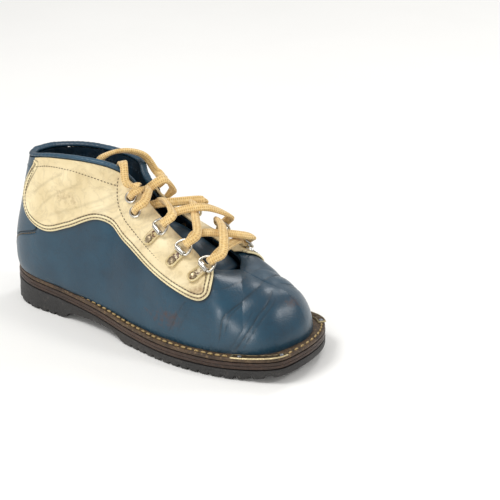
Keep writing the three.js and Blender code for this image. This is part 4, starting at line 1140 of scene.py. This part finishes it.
def makePanel(side):
    columns, rows = grids["panel"]
    a = np.linspace(0, 1, columns)[:, None]
    height = panelHeight(side, a)
    edgeShare = np.minimum(panelLook["edgeReach"] / height, 0.7)
    k = np.arange(rows)[None] / (rows - 1)
    split = panelLook["edgeRows"] / (rows - 1)
    b = np.where(k < split, k / split * edgeShare, mix(edgeShare, 1.0, (k - split) / (1 - split)))
    a = np.broadcast_to(a, b.shape)
    u, t = panelPlace(a, b)
    surface = lastPoint(side, u, t)
    away = nearest(surface, panelEdgeLine(side))
    sink = 0.75 * np.exp(-(away / 0.45) ** 2) - 0.6 * unevenness(surface)
    seam = np.zeros(away.shape)
    for inset in panelLook["stitchRows"]:
        sink = sink + panelLook["grooveDepth"] * np.exp(-((away - inset) / 0.55) ** 2)
        sink = sink - panelLook["ridgeHeight"] * np.exp(-((away - inset - 1.25) / 0.7) ** 2)
        seam = np.maximum(seam, np.exp(-((away - inset) / 0.42) ** 2))
    fold = np.zeros(away.shape)
    for run in ankleFolds:
        places = curve(run)(np.linspace(0, 1, 90))
        fold = np.maximum(fold, np.exp(-(nearest(surface, lastPoint(side, *places.T)) / 1.0) ** 2))
    sink = sink + panelLook["creaseDepth"] * fold
    # painted shade along the ankle folds
    marks = {"seam": 0.75 * seam, "creaseShade": 0.3 * fold,
             "pale": np.maximum(np.exp(-(away / 0.8) ** 2), 0.75 * np.exp(-((away - 3.1) / 0.7) ** 2)),
             "scuff": np.clip(0.3 * np.exp(-away / 7) + patches(surface, panelSmudges), 0, 1),
             "dust": 0.35 * np.exp(-((away - 7) / 5) ** 2)}
    keep = holesCut(surface, side, eyeletPlaces, hardware["hole"])
    patch = leatherPatch(side, u, t, panelLift(side, a, b), sink, marks, keep)
    name = sideNames[side] + "AnklePanel"
    piece = makeObject(name, sheetMesh(name, [patch]), creamLeather)
    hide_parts(sideNames[side] + "_ankle_panel")


def makeLining():
    # wrinkled leather inside, with the eyelets' holes, and painted shade along its wrinkles
    rows = []
    for side in sides:
        for u0, u1, share in ((0.0, throatU, 1.0), (throatU, 1.0, 0.4)):
            i, j = unitGrid(int(grids["lining"][0] * share), grids["lining"][1])
            u, t = mix(u0, u1, i), j
            surface = lastPoint(side, u, t)
            x, z = surface[..., 0], surface[..., 2]
            wave = 0.35 * np.sin(x * 0.55 + 1.4 * np.sin(z * 0.13)) * smoothstep(t, 0.4, 0.8)
            high, low = layers["liningOuter"], layers["liningInner"]
            normal = lastNormal(side, u, t)
            inner = surface + normal * (low + wave * smoothstep(1 - t, 0.0, 0.06))[..., None]
            rows.append({"outer": surface + normal * high, "inner": inner, "isFlipped": side == medial,
                         "marks": {"creaseShade": np.clip(-wave * 1.2, 0, 0.5)},
                         "keep": holesCut(surface, side, eyeletPlaces, hardware["hole"])})
    piece = makeObject("lining", sheetMesh("lining", rows), liningLeather)
    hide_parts("lining")


tongueLook = {"from": 0.695, "to": 0.425, "thickness": 2.0, "crown": 0.16}
tongueDepth = profile([[0, 5.2], [0.5, 5.2], [0.74, 10.6], [1, 10.6]])
tongueWing = profile([[0, 6.5], [0.5, 4.8], [1, 4]])


def makeTongue():
    # an arch across the throat that crosses the facings' edges at the tongue's depth
    i, j = unitGrid(*grids["tongue"])
    s, share = i, 2 * j - 1
    u = mix(tongueLook["from"], tongueLook["to"], s)
    left, right = topPoint(lateral, u), topPoint(medial, u)
    width = np.linalg.norm(right - left, axis=-1)
    across = unit(right - left)
    up = sum(topPoint(side, u - 0.01) - topPoint(side, u + 0.01) for side in sides)
    out = unit(np.cross(across, up))
    half = width / 2 + tongueWing(s)
    arch = tongueLook["crown"] * width * (1 - (2 * share * half / width) ** 2)
    ripple = 0.25 * np.sin(s * 34 + 2 * share ** 2) * (1 - share ** 2)
    edge = np.minimum(1 - np.abs(share), np.minimum(s, 1 - s) * 3) * half
    height = arch - tongueDepth(s) + ripple
    top = (left + right) / 2 + across * (share * half)[..., None] + out * height[..., None]
    normal = unit(np.cross(np.gradient(top, axis=1), np.gradient(top, axis=0)))
    sunk = 0.6 * np.exp(-(edge / 0.7) ** 2)
    # painted shade in the ripples' dips
    row = {"outer": top - normal * sunk[..., None], "isFlipped": False,
           "inner": top - normal * tongueLook["thickness"],
           "marks": {"creaseShade": np.clip(-ripple * 2, 0, 0.5),
                     "seam": 0.5 * np.exp(-((edge - 2.2) / 0.4) ** 2)}}
    piece = makeObject("tongue", sheetMesh("tongue", [row]), tongueLeather)
    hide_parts("tongue")


piping = {"end": 0.455, "half": 1.9, "stations": 420, "around": 20}


def makeCollarBinding():
    # a padded roll over the top edge: an oval section carried along the collar and facings
    rings = []
    for side in sides:
        u = piping["end"] * np.linspace(0, 1, piping["stations"])
        if side == lateral:
            u = u[::-1]
        ones = np.ones_like(u)
        edge = offPoint(side, u, ones, (layers["liningInner"] + layers["leatherOuter"]) / 2 * ones)
        out = lastNormal(side, u, ones)
        up = unit(edge - offPoint(side, u, 0.96 * ones, 0.25 * ones))
        middle = edge + up * (piping["half"] + gap)
        run = u * 260
        pucker = 1 + 0.03 * np.sin(run * 2.1) + 0.02 * np.sin(run * 0.7)
        end = np.sqrt(np.clip(1 - ((u - piping["end"] + 0.004) / 0.004) ** 2, 0.05, 1))
        end = np.where(u > piping["end"] - 0.004, end, 1.0)
        angle = 2 * np.pi * np.arange(piping["around"]) / piping["around"]
        wide = (piping["half"] + 0.9) * (pucker * end)[:, None] * np.cos(angle)
        tall = (piping["half"] - 0.1) * (pucker * end)[:, None] * np.sin(angle)
        tall = np.where(tall < 0, tall * 1.15, tall)
        ring = middle[:, None] + wide[..., None] * out[:, None] + tall[..., None] * up[:, None]
        rings.append(ring if side == lateral else ring[1:])
    mesh = loftMesh("collarBinding", np.vstack(rings))
    piece = makeObject("collarBinding", mesh, pipingLeather, sharp=180)
    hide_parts("collar_binding")


makeVamp()
makeMedialQuarter()
makeBackstay()
for side in sides:
    makePanel(side)
makeLining()
makeTongue()
makeCollarBinding()
print("leathers made")


# Stitches

def stitchRow(name, lines, material, pitch=2.9, length=2.1, radius=0.36, lean=0.0):
    # small sunk capsules along lines of (points, normals); lean turns each one a little
    stations, around = 6, 6
    s = np.linspace(-1, 1, stations)
    girth = np.sqrt(np.clip(1 - np.abs(s) ** 3, 0, 1)) * radius
    bow = 0.35 * radius * (1 - s ** 2)
    angle = 2 * np.pi * np.arange(around) / around
    template = np.stack(np.broadcast_arrays(s[:, None] * length / 2, girth[:, None] * np.cos(angle),
                                            girth[:, None] * np.sin(angle) + bow[:, None]), -1)
    i, j = np.meshgrid(np.arange(stations - 1), np.arange(around), indexing="ij")
    k = (j + 1) % around
    quads = np.stack([i * around + j, (i + 1) * around + j, (i + 1) * around + k,
                      i * around + k], -1).reshape(-1, 4)
    points, faces, count = [], [], 0
    for line, normals in lines:
        middle, (up,) = resample(line, [normals], pitch)
        if len(middle) < 2:
            continue
        up = unit(up)
        along = unit(np.gradient(middle, axis=0))
        along = unit(along - up * (along * up).sum(-1, keepdims=True))
        across = np.cross(up, along)
        turn = math.radians(lean)
        along, across = (along * math.cos(turn) + across * math.sin(turn),
                         across * math.cos(turn) - along * math.sin(turn))
        local = template.reshape(-1, 3)
        stitches = (middle[:, None] + local[None, :, :1] * along[:, None]
                    + local[None, :, 1:2] * across[:, None] + local[None, :, 2:] * up[:, None])
        points.append(stitches.reshape(-1, 3))
        starts = count + np.arange(len(middle))[:, None, None] * len(local)
        faces.append((quads[None] + starts).reshape(-1, 4))
        count += len(middle) * len(local)
    points = np.vstack(points)
    mesh = meshFrom(name, points, np.vstack(faces), {"braid": np.full(len(points), 0.9)})
    piece = makeObject(name, mended(mesh, 1e-7), material, sharp=180)
    return piece


def pathOnLast(side, places, distance, count=500):
    # a smooth run through (u, t) places, as points at a distance out and their normals
    u, t = curve(places)(np.linspace(0, 1, count)).T
    return offPoint(side, u, t, np.full(count, distance)), lastNormal(side, u, t)


def shifted(side, u, t, aside):
    # moves a path sideways over the last by solving for the (u, t) step that does it
    line = lastPoint(side, u, t)
    normal = lastNormal(side, u, t)
    along = unit(np.gradient(line, axis=0))
    target = line + np.cross(normal, along) * aside
    for _ in range(3):
        here = lastPoint(side, u, t)
        du = (lastPoint(side, u + 1e-4, t) - here) / 1e-4
        dt = (lastPoint(side, u, t + 1e-4) - here) / 1e-4
        miss = target - here
        uu, tt, ut = (du * du).sum(-1), (dt * dt).sum(-1), (du * dt).sum(-1)
        mu, mt = (miss * du).sum(-1), (miss * dt).sum(-1)
        size = np.maximum(uu * tt - ut ** 2, 1e-9)
        u = np.clip(u + (mu * tt - mt * ut) / size, 0, 1)
        t = np.clip(t + (mt * uu - mu * ut) / size, 0, 1)
    return u, t


def rowBeside(side, u, t, aside, distance):
    u, t = shifted(side, u, t, aside)
    return offPoint(side, u, t, np.full(len(u), distance)), lastNormal(side, u, t)


def panelRows(side):
    high = layers["leatherOuter"] + layers["overlapRise"] - 0.3
    a = np.linspace(0.012, 0.985, 800)
    u, t = panelPlace(a, np.zeros_like(a))
    inwards = -side
    return [rowBeside(side, u, t, inwards * inset, high) for inset in panelLook["stitchRows"]]


facingRun = [(0.345, 0.965), (0.352, 0.88), (0.372, 0.78), (0.43, 0.65), (0.5, 0.575), (0.58, 0.51),
             (0.628, 0.5)]
collarRun = [(0.118, 0.915), (0.16, 0.93), (0.205, 0.925), (0.26, 0.905), (0.305, 0.895), (0.347, 0.9)]


def makePanelStitches(side):
    flat = layers["leatherOuter"] + 0.02
    lines = panelRows(side) + [pathOnLast(side, facingRun, flat), pathOnLast(side, collarRun, flat)]
    stitchRow(sideNames[side] + "PanelStitches", lines, brownThread,
              pitch=2.7, length=1.9, radius=0.34)


def makeBlueStitches():
    high = layers["leatherOuter"] - 0.15
    t = np.linspace(0.04, seamTop - 0.02, 300)
    rows = []
    for side in sides:
        rows.append(rowBeside(side, backSeam(t) + seamGap, t, 1.9 * side, high))
    stitchRow("backSeamStitches", rows, seamThread, pitch=2.6, length=1.9, radius=0.36)
    j = np.linspace(0.06, 0.97, 300)
    u, t = quarterPlace(medial, waistSeamAt, j)
    waist = [rowBeside(medial, u, t, aside, high) for aside in (1.7, 3.9)]
    stitchRow("waistStitches", waist, blueThread, pitch=2.6, length=1.8, radius=0.34)
    collar = []
    for side in sides:
        u = np.linspace(0.0, 0.112, 120)
        top = np.full_like(u, 0.915)
        collar.append((offPoint(side, u, top, np.full_like(u, layers["leatherOuter"])),
                       lastNormal(side, u, top)))
    stitchRow("backstayStitches", collar, blueThread, pitch=2.7, length=1.9, radius=0.3)
    inside = []
    for side in sides:
        u = np.linspace(0.0, 0.36, 300)
        top = np.full_like(u, 0.93)
        inside.append((offPoint(side, u, top, np.full_like(u, layers["liningInner"] - 0.1)),
                       -lastNormal(side, u, top)))
    stitchRow("liningStitches", inside, blueThread, pitch=3.0, length=2.0, radius=0.3)


for side in sides:
    makePanelStitches(side)
makeBlueStitches()
print("stitches made")


# Eyelets, clips and rings

def nodeName(side, name):
    return sideNames[side] + "_" + name


def makeEyelet(side, place, name, node):
    # a flanged tube turned round the hole's axis, its foot rolled over inside
    bore, flange, seat = hardware["eyeletBore"], hardware["eyeletFlange"], hardware["seat"]
    washer, foot = hardware["washer"], hardware["foot"]
    section = roundedPath([[bore, foot], [bore, 0.75], [3.3, 1.4], [4.2, 1.2], [flange, 0.75],
                           [flange, seat], [3.4, seat], [3.4, washer], [4.2, washer], [4.2, foot],
                           [bore, foot]], 0.4, 5)
    mesh = revolve(section, 56, hardwareFrame(side, place), name)
    piece = makeObject(name, mesh, nickel, sharp=50)
    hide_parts(node)


def clipOutline(inset, count=26):
    # a tongue shape: straight across the front, round at the back, in from its edge by inset
    half, front = hardware["clipHalf"] - inset, hardware["pivotX"] - inset
    back = hardware["rivetX"] - 1.0
    angle = np.linspace(np.pi / 2, 3 * np.pi / 2, count)
    roundEnd = np.column_stack([back + half * np.cos(angle), half * np.sin(angle)])
    share = np.linspace(0, 1, 9)[1:, None]
    low = mix(roundEnd[-1], np.array([front, -half]), share)
    bar = mix(np.array([front, -half]), np.array([front, half]), share)
    high = mix(np.array([front, half]), roundEnd[0], share)[:-1]
    return np.vstack([roundEnd, low, bar, high])


def makeClip(side, place, name):
    # a dished enamelled strap with a raised rim, and the rolled nickel eye at its front
    frameHere = hardwareFrame(side, place)
    half, front, seat = hardware["clipHalf"], hardware["pivotX"], hardware["seat"]
    top = seat + hardware["clipThickness"]
    levels = [(0.9, seat), (0.15, seat), (0.0, seat + 0.3), (0.0, top - 0.1), (0.35, top + 0.35),
              (0.8, top + 0.4), (1.25, top + 0.2), (1.7, top - 0.1), (2.4, top - 0.2),
              (3.2, top - 0.2)]
    outlines = [clipOutline(inset) for inset, _ in levels]
    rings = np.array([np.column_stack([outline, np.full(len(outline), z)])
                      for outline, (_, z) in zip(outlines, levels)])
    rust = np.array([0, 0, 0, 0, 0, 0, 0.15, 0.8, 1, 1])[:, None] * np.ones(rings.shape[1])
    forward = smoothstep(rings[..., 0], front - 3.2, front - 1.6)
    rust = np.clip(rust * (0.5 - 0.3 * forward) + 0.2 * forward, 0, 1)
    mesh = loftMesh(name, placed(rings, frameHere), attributes={"rust": rust.reshape(-1)})
    strap = makeObject(name, mesh, enamelCream, sharp=60)
    angle = np.radians(np.linspace(-150, 190, 40))
    outer, bore = hardware["eyeOuter"], hardware["eyeBore"]
    loop = np.concatenate([np.column_stack([outer * np.cos(angle), outer * np.sin(angle)]),
                           np.column_stack([bore * np.cos(angle[::-1]), bore * np.sin(angle[::-1])])])
    spans = np.array([-1.0, -0.94, -0.86, 0, 0.86, 0.94, 1.0]) * half
    shrink = np.array([0.86, 0.96, 1, 1, 1, 0.96, 0.86])
    eye = []
    for y, scale in zip(spans, shrink):
        ring = loop.copy()
        ring[:40] *= scale
        eye.append(np.column_stack([hardware["pivotX"] + ring[:, 0], np.full(len(ring), y),
                                    hardware["pivotZ"] + ring[:, 1]]))
    eyeMesh = loftMesh(name + "Eye", placed(np.array(eye), frameHere))
    makeObject(name + "Eye", eyeMesh, nickel, sharp=45)
    return strap


def makeRivet(side, place, name):
    # a domed head over the clip, a shank, and a washer inside
    origin, x, y, z = hardwareFrame(side, place)
    washer, foot = hardware["washer"], hardware["foot"]
    section = roundedPath([[0, 2.9], [1.6, 2.75], [2.75, 2.1], [2.75, 1.85], [1.4, 1.85],
                           [1.4, washer], [2.6, washer], [2.6, foot], [0, foot]], 0.35, 5)
    mesh = revolve(section, 40, (origin + x * hardware["rivetX"], x, y, z), name)
    piece = makeObject(name, mesh, dullNickel, sharp=50)
    return piece


ringOutline = [[0, -4.8], [0, 0], [0, 4.8], [1.3, 6.2], [4.6, 6.014], [8.2, 3.844], [10, 0],
               [8.2, -3.844], [4.6, -6.014], [1.3, -6.2]]


def makeRing(side, place, name, node):
    # round wire bent to a D, its straight side through the clip's eye
    frameHere = hardwareFrame(side, place)
    outline = curve(ringOutline, True)(np.arange(120) / 120)
    along = unit(np.roll(outline, -1, 0) - np.roll(outline, 1, 0))
    across = np.column_stack([along[:, 1], -along[:, 0]])
    angle = 2 * np.pi * np.arange(16) / 16
    flat = outline[:, None] + across[:, None] * (hardware["wire"] * np.cos(angle))[None, :, None]
    height = np.broadcast_to(hardware["wire"] * np.sin(angle), flat.shape[:2])
    local = np.stack([flat[..., 0] + hardware["pivotX"], flat[..., 1],
                      height + hardware["pivotZ"]], -1)
    mesh = loftMesh(name, placed(local, frameHere), isLoop=True)
    piece = makeObject(name, mesh, nickel, body=node, sharp=180)
    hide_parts(node)


def makeHardware():
    for side in sides:
        label = sideNames[side]
        for place, name in zip(eyeletPlaces, eyeletNames):
            makeEyelet(side, place, label + name.title() + "Eyelet", nodeName(side, name + "_eyelet"))
        for place, name in zip(ringPlaces, ringNames):
            strap = makeClip(side, place, label + name.title() + "Clip")
            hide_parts(nodeName(side, name + "_clip"))
            rivet = makeRivet(side, place, label + name.title() + "Rivet")
            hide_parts(nodeName(side, name + "_rivet"))
            makeRing(side, place, label + name.title() + "Ring", nodeName(side, name + "_ring"))


makeHardware()
print("eyelets, clips and rings made")


# Welt, side plates and sole

sole = {"weltStations": 900, "weltGap": 0.3, "treadFrom": -140, "treadWaist": -90, "treadFore": -11,
        "treadTo": 103, "pitch": 8.0, "groove": 1.8, "wall": 0.4, "open": 0.65}


def level(offset):
    # a height that follows the midsole's top, offset up or down
    return lambda x, v: midsoleTop(x) + offset


def edgeMarks(rows):
    # marks for a slab: seam down its side by level, dust at the waist
    def marks(rings):
        x = rings[..., 0]
        dust = 0.25 + 0.5 * np.exp(-((x + 20) / 45) ** 2)
        return {"seam": (np.array(rows)[:, None] * np.ones(rings.shape[1])).reshape(-1),
                "dust": dust.reshape(-1)}
    return marks


def makeWelt():
    # a closed band: its section goes round the strip, which is worn and slightly wavy
    planAt = planLoop(sole["weltStations"])[1]
    low, high = sole["weltGap"], sole["weltGap"] + soleStack["welt"]
    outerRow = planAt(soleLine, 0.4)
    innerRow = planAt(featherLine, 5)
    reach = np.linalg.norm(outerRow - innerRow, axis=1)
    rings = []
    seam, dust = [], []
    top = [(0.0, -0.9), (0.1, -0.45), (0.35, -0.12), (0.8, 0.0), (1.3, 0.03), (1.9, 0.0), (2.3, -0.16),
           (2.7, -0.3), (3.1, -0.16), (3.5, 0.0), (4.2, 0.06), (5.2, 0.02), (6.4, 0.0), (7.5, 0.1)]
    for away, rise in top:
        share = np.minimum(away / reach, 1)[:, None]
        plan = mix(outerRow, innerRow, share)
        x, y = plan.T
        wave = 0.14 * np.sin(x * 0.23 + y * 0.1) + 0.08 * np.sin(x * 0.61 - y * 0.37)
        height = midsoleTop(x) + high + rise + wave * smoothstep(away, 0, 2)
        rings.append(np.column_stack([plan, height]))
        seam.append(np.full(len(x), math.exp(-((away - 2.7) / 0.35) ** 2)))
        dust.append(0.45 * np.exp(-((away - 5.5) / 1.8) ** 2) + 0.35 * np.exp(-((x + 15) / 40) ** 2))
    for line, inset, z in ((featherLine, 5, high), (featherLine, 5, low), (soleLine, 1.0, low),
                           (soleLine, 0.5, low + 0.25), (soleLine, 0.35, low + 0.8)):
        plan = planAt(line, inset)
        rings.append(np.column_stack([plan, midsoleTop(plan[:, 0]) + z]))
        seam.append(np.full(len(plan), 0.6 if inset == 0.5 else 0.0))
        dust.append(np.full(len(plan), 0.2))
    rings = np.swapaxes(np.array(rings), 0, 1)
    marks = {"seam": np.array(seam).T.reshape(-1), "dust": np.array(dust).T.reshape(-1)}
    piece = makeObject("welt", loftMesh("welt", rings, isLoop=True, attributes=marks), weltLeather)
    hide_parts("welt")


def makeWeltStitches():
    # thick cream thread all round, half sunk in its groove
    lines = []
    for side in sides:
        v = np.linspace(0.0, 1.0, 1200)
        plan = soleLine(side, v, 3.1)
        up = np.tile([0.0, 0.0, 1.0], (len(v), 1))
        z = midsoleTop(plan[:, 0]) + sole["weltGap"] + soleStack["welt"] - 0.02
        keep = ~((v > plate["from"] - 0.004) & (v < plate["to"] + 0.004))
        pieces = np.split(np.arange(len(v)), np.flatnonzero(np.diff(keep.astype(int))) + 1)
        for rows in pieces:
            if keep[rows[0]]:
                lines.append((np.column_stack([plan[rows], z[rows]]), up[rows]))
    stitchRow("weltStitches", lines, weltThread, pitch=5.8, length=4.7, radius=0.85, lean=5)


plate = {"from": 0.68, "to": 0.845, "outer": -0.5, "inner": 5.6, "seat": 3.5, "thick": 0.9,
         "nails": (0.12, 0.88), "nailInset": 2.8}


def makePlate(side):
    # a thin nailed strip with round corners, its edges beaten down and bright
    count, across = 90, 18
    shareAcross = np.linspace(-1, 1, across)
    rounding = 1 - (1 - np.sqrt(np.clip(1 - shareAcross ** 6, 0, 1))) * 0.03
    a, b = np.meshgrid(np.linspace(0, 1, count), shareAcross, indexing="ij")
    v = mix(plate["from"], plate["to"], 0.5 + (a - 0.5) * rounding)
    outer = soleLine(side, v.reshape(-1), plate["outer"])
    inner = soleLine(side, v.reshape(-1), plate["inner"])
    plan = mix(outer, inner, ((b + 1) / 2).reshape(-1)[:, None])
    x, y = plan.T
    edge = np.minimum(1 - np.abs(b), np.minimum(a, 1 - a) * 6).reshape(-1)
    base = midsoleTop(x) + plate["seat"]
    dish = 0.18 * np.sin(x * 0.33) * np.sin(y * 0.9) + 0.1 * np.sin(x * 0.9 + y)
    lift = plate["thick"] + (dish - 0.1) * smoothstep(edge, 0.0, 0.4) - 0.35 * np.exp(-edge / 0.05)
    lift = lift + 0.3 * np.exp(-((edge - 0.16) / 0.08) ** 2)
    top = np.column_stack([plan, base + lift]).reshape(count, across, 3)
    bottom = np.column_stack([plan, base]).reshape(count, across, 3)
    pale = np.exp(-np.maximum(edge - 0.12, 0) / 0.06).reshape(count, across)
    name = sideNames[side] + "SidePlate"
    row = {"outer": top, "inner": bottom, "isFlipped": side == medial, "marks": {"pale": pale}}
    piece = makeObject(name, sheetMesh(name, [row]), plateMetal, sharp=60)
    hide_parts(sideNames[side] + "_side_plate")
    for index, share in enumerate(plate["nails"]):
        at = soleLine(side, np.array([mix(plate["from"], plate["to"], share)]), plate["nailInset"])[0]
        origin = np.array([*at, midsoleTop(at[0]) + plate["seat"] + plate["thick"]])
        section = roundedPath([[0, 0.75], [0.95, 0.68], [1.65, 0.2], [1.7, 0.0], [0.9, 0.0],
                               [0.9, -4.6], [0, -5.5]], 0.3, 5)
        nailName = f"{sideNames[side]}PlateNail{index + 1}"
        mesh = revolve(section, 28, (origin, *np.eye(3)), nailName)
        nail = makeObject(nailName, mesh, steel, sharp=50)
        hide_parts(f"{sideNames[side]}_plate_nail_{index + 1}")


def makeMidsole():
    # two lifts of leather, the joint between them a fine groove
    deep = soleStack["midsole"]
    section = [(3.0, level(-deep)), (0.9, level(-deep)), (0.35, level(0.2 - deep)),
               (0.2, level(0.5 - deep)), (0.2, level(-3.1)), (0.3, level(-2.95)),
               (0.65, level(-2.8)), (0.3, level(-2.65)), (0.15, level(-2.5)), (0.15, level(-0.5)),
               (0.35, level(-0.15)), (0.9, level(0.0)), (3.0, level(0.0))]
    rows = [0.3, 0.8, 0.7, 0.2, 0.1, 0.5, 1, 0.5, 0.1, 0.1, 0.7, 0.9, 0.3]
    mesh = slabMesh("midsole", soleLine, section, 300, edgeMarks(rows))
    piece = makeObject("midsole", mesh, midsoleLeather)
    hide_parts("midsole")


def treadDepth(x):
    # 1 in a groove and 0 on a tooth, over the heel and the forepart
    depth = np.zeros_like(x)
    for start, end in ((sole["treadFrom"], sole["treadWaist"]), (sole["treadFore"], sole["treadTo"])):
        place = (x - start) / sole["pitch"]
        share = place % 1.0
        wall = sole["wall"] / sole["pitch"]
        groove = (smoothstep(share, sole["open"], sole["open"] + wall)
                  * (1 - smoothstep(share, 1 - wall, 1.0)))
        depth = np.maximum(depth, np.where((x > start) & (x < end), groove, 0))
    return depth


def makeOutsole():
    # each station's groove depth comes from the middle line, so grooves run straight across
    v = 0.5 - 0.5 * np.cos(np.pi * np.linspace(0, 1, 2000))
    plainX = (soleLine(lateral, v, 20)[:, 0] + soleLine(medial, v, 20)[:, 0]) / 2

    def tread(lift):
        def height(x, stationV):
            grooves = sole["groove"] * treadDepth(np.interp(stationV, v, plainX))
            return np.maximum(treadShape(x), 0) + grooves + lift
        return height

    def wall(share):
        # the plain side of the sole, as a share of the way up it
        return lambda x, w: mix(np.maximum(treadShape(x), 0) + 1.9, midsoleTop(x) + topHeight, share)

    topHeight = -6.0
    section = [(20, tread(0.0)), (1.6, tread(0.0)), (0.7, tread(0.3)), (0.25, tread(0.8)),
               (0.0, tread(1.7)), (0.0, wall(0.35)), (0.25, wall(0.6)),
               (0.0, lambda x, w: midsoleTop(x) + topHeight - 0.9), (0.1, level(topHeight - 0.3)),
               (0.6, level(topHeight)), (3.0, level(topHeight))]
    rows = [0.0, 0.2, 0.3, 0.2, 0.0, 0.0, 0.2, 0.0, 0.4, 0.9, 0.6]
    piece = makeObject("outsole", slabMesh("outsole", soleLine, section, 1300, edgeMarks(rows)), rubber)
    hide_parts("outsole")


def makeInsoles():
    # the board and the thin liner over it, each a slab with eased edges
    for name, node, low, high, inset, ease, material, slot in (
            ("insole", "insole", 3.5, 6.5, 3.4, (0.5, 0.4), insoleBoard, "board"),
            ("sockLiner", "sock_liner", 6.8, 8.0, 4.0, (0.4, 0.3), liningLeather, "lining_leather")):
        section = [(8, level(low)), (inset + ease[0], level(low)), (inset, level(low + ease[1])),
                   (inset, level(high - ease[1])), (inset + ease[0], level(high)), (8, level(high))]
        piece = makeObject(name, slabMesh(name, featherLine, section), material)
        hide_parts(node)


def finishHidden():
    # the pieces closed up inside keep their own shapes
    looks = {"heel_filler": corkFiller, "forepart_filler": corkFiller, "shank": steel,
             "heel_counter": insoleBoard, "toe_puff": insoleBoard}
    for name, material in looks.items():
        for slot in frame["nodes"][name].material_slots:
            slot.material = material


makeWelt()
makeWeltStitches()
for side in sides:
    makePlate(side)
makeMidsole()
makeOutsole()
makeInsoles()
finishHidden()
print("sole and plates made")


# Floor and light

studio = {"floor": 7.0, "floorColour": "#fbfaf7", "world": 0.56}
# name: place and size in metres, power in watts
lights = {"overhead": ((-0.45, -0.7, 1.5), 0.8, 13.0), "strip": ((0.28, -1.5, 0.42), 0.34, 4.5),
          "toe": ((1.15, 0.36, 1.0), 0.32, 4.5), "back": ((0.1, 1.25, 1.35), 0.5, 6.0)}


def makeFloor():
    half = studio["floor"] / 2
    mesh = bpy.data.meshes.new("floor")
    mesh.from_pydata([(-half, -half, 0), (half, -half, 0), (half, half, 0), (-half, half, 0)], [],
                     [(0, 1, 2, 3)])
    floor = bpy.data.objects.new("floor", mesh)
    bpy.context.collection.objects.link(floor)
    paper, tree, shader = newMaterial("paper", 0.9)
    vector = objectPlace(tree)
    tint = useGroup(tree, mottleGroup, Vector=vector, Scale=3.0, First=colour(studio["floorColour"]),
                    Second=colour("#f8f7f4"))["Colour"]
    connect(tree, shader, **{"Base Color": tint})
    floor.data.materials.append(paper)


def makeLight(name, place, size, power):
    # a large soft panel that faces the shoe
    light = bpy.data.lights.new(name, "AREA")
    light.shape, light.size, light.energy = "DISK", size, power
    lamp = bpy.data.objects.new(name, light)
    lamp.location = place
    look = Vector((0, 0, 0.06)) - Vector(place)
    lamp.rotation_euler = look.to_track_quat("-Z", "Y").to_euler()
    bpy.context.collection.objects.link(lamp)


def makeStudio():
    makeFloor()
    world = bpy.data.worlds.new("studio")
    world.use_nodes = True
    backdrop = world.node_tree.nodes["Background"]
    backdrop.inputs["Color"].default_value = (1, 1, 1, 1)
    backdrop.inputs["Strength"].default_value = studio["world"]
    bpy.context.scene.world = world
    bpy.context.scene.view_settings.view_transform = "Standard"
    for name, (place, size, power) in lights.items():
        makeLight(name, place, size, power)


makeStudio()
print("floor and lights made")
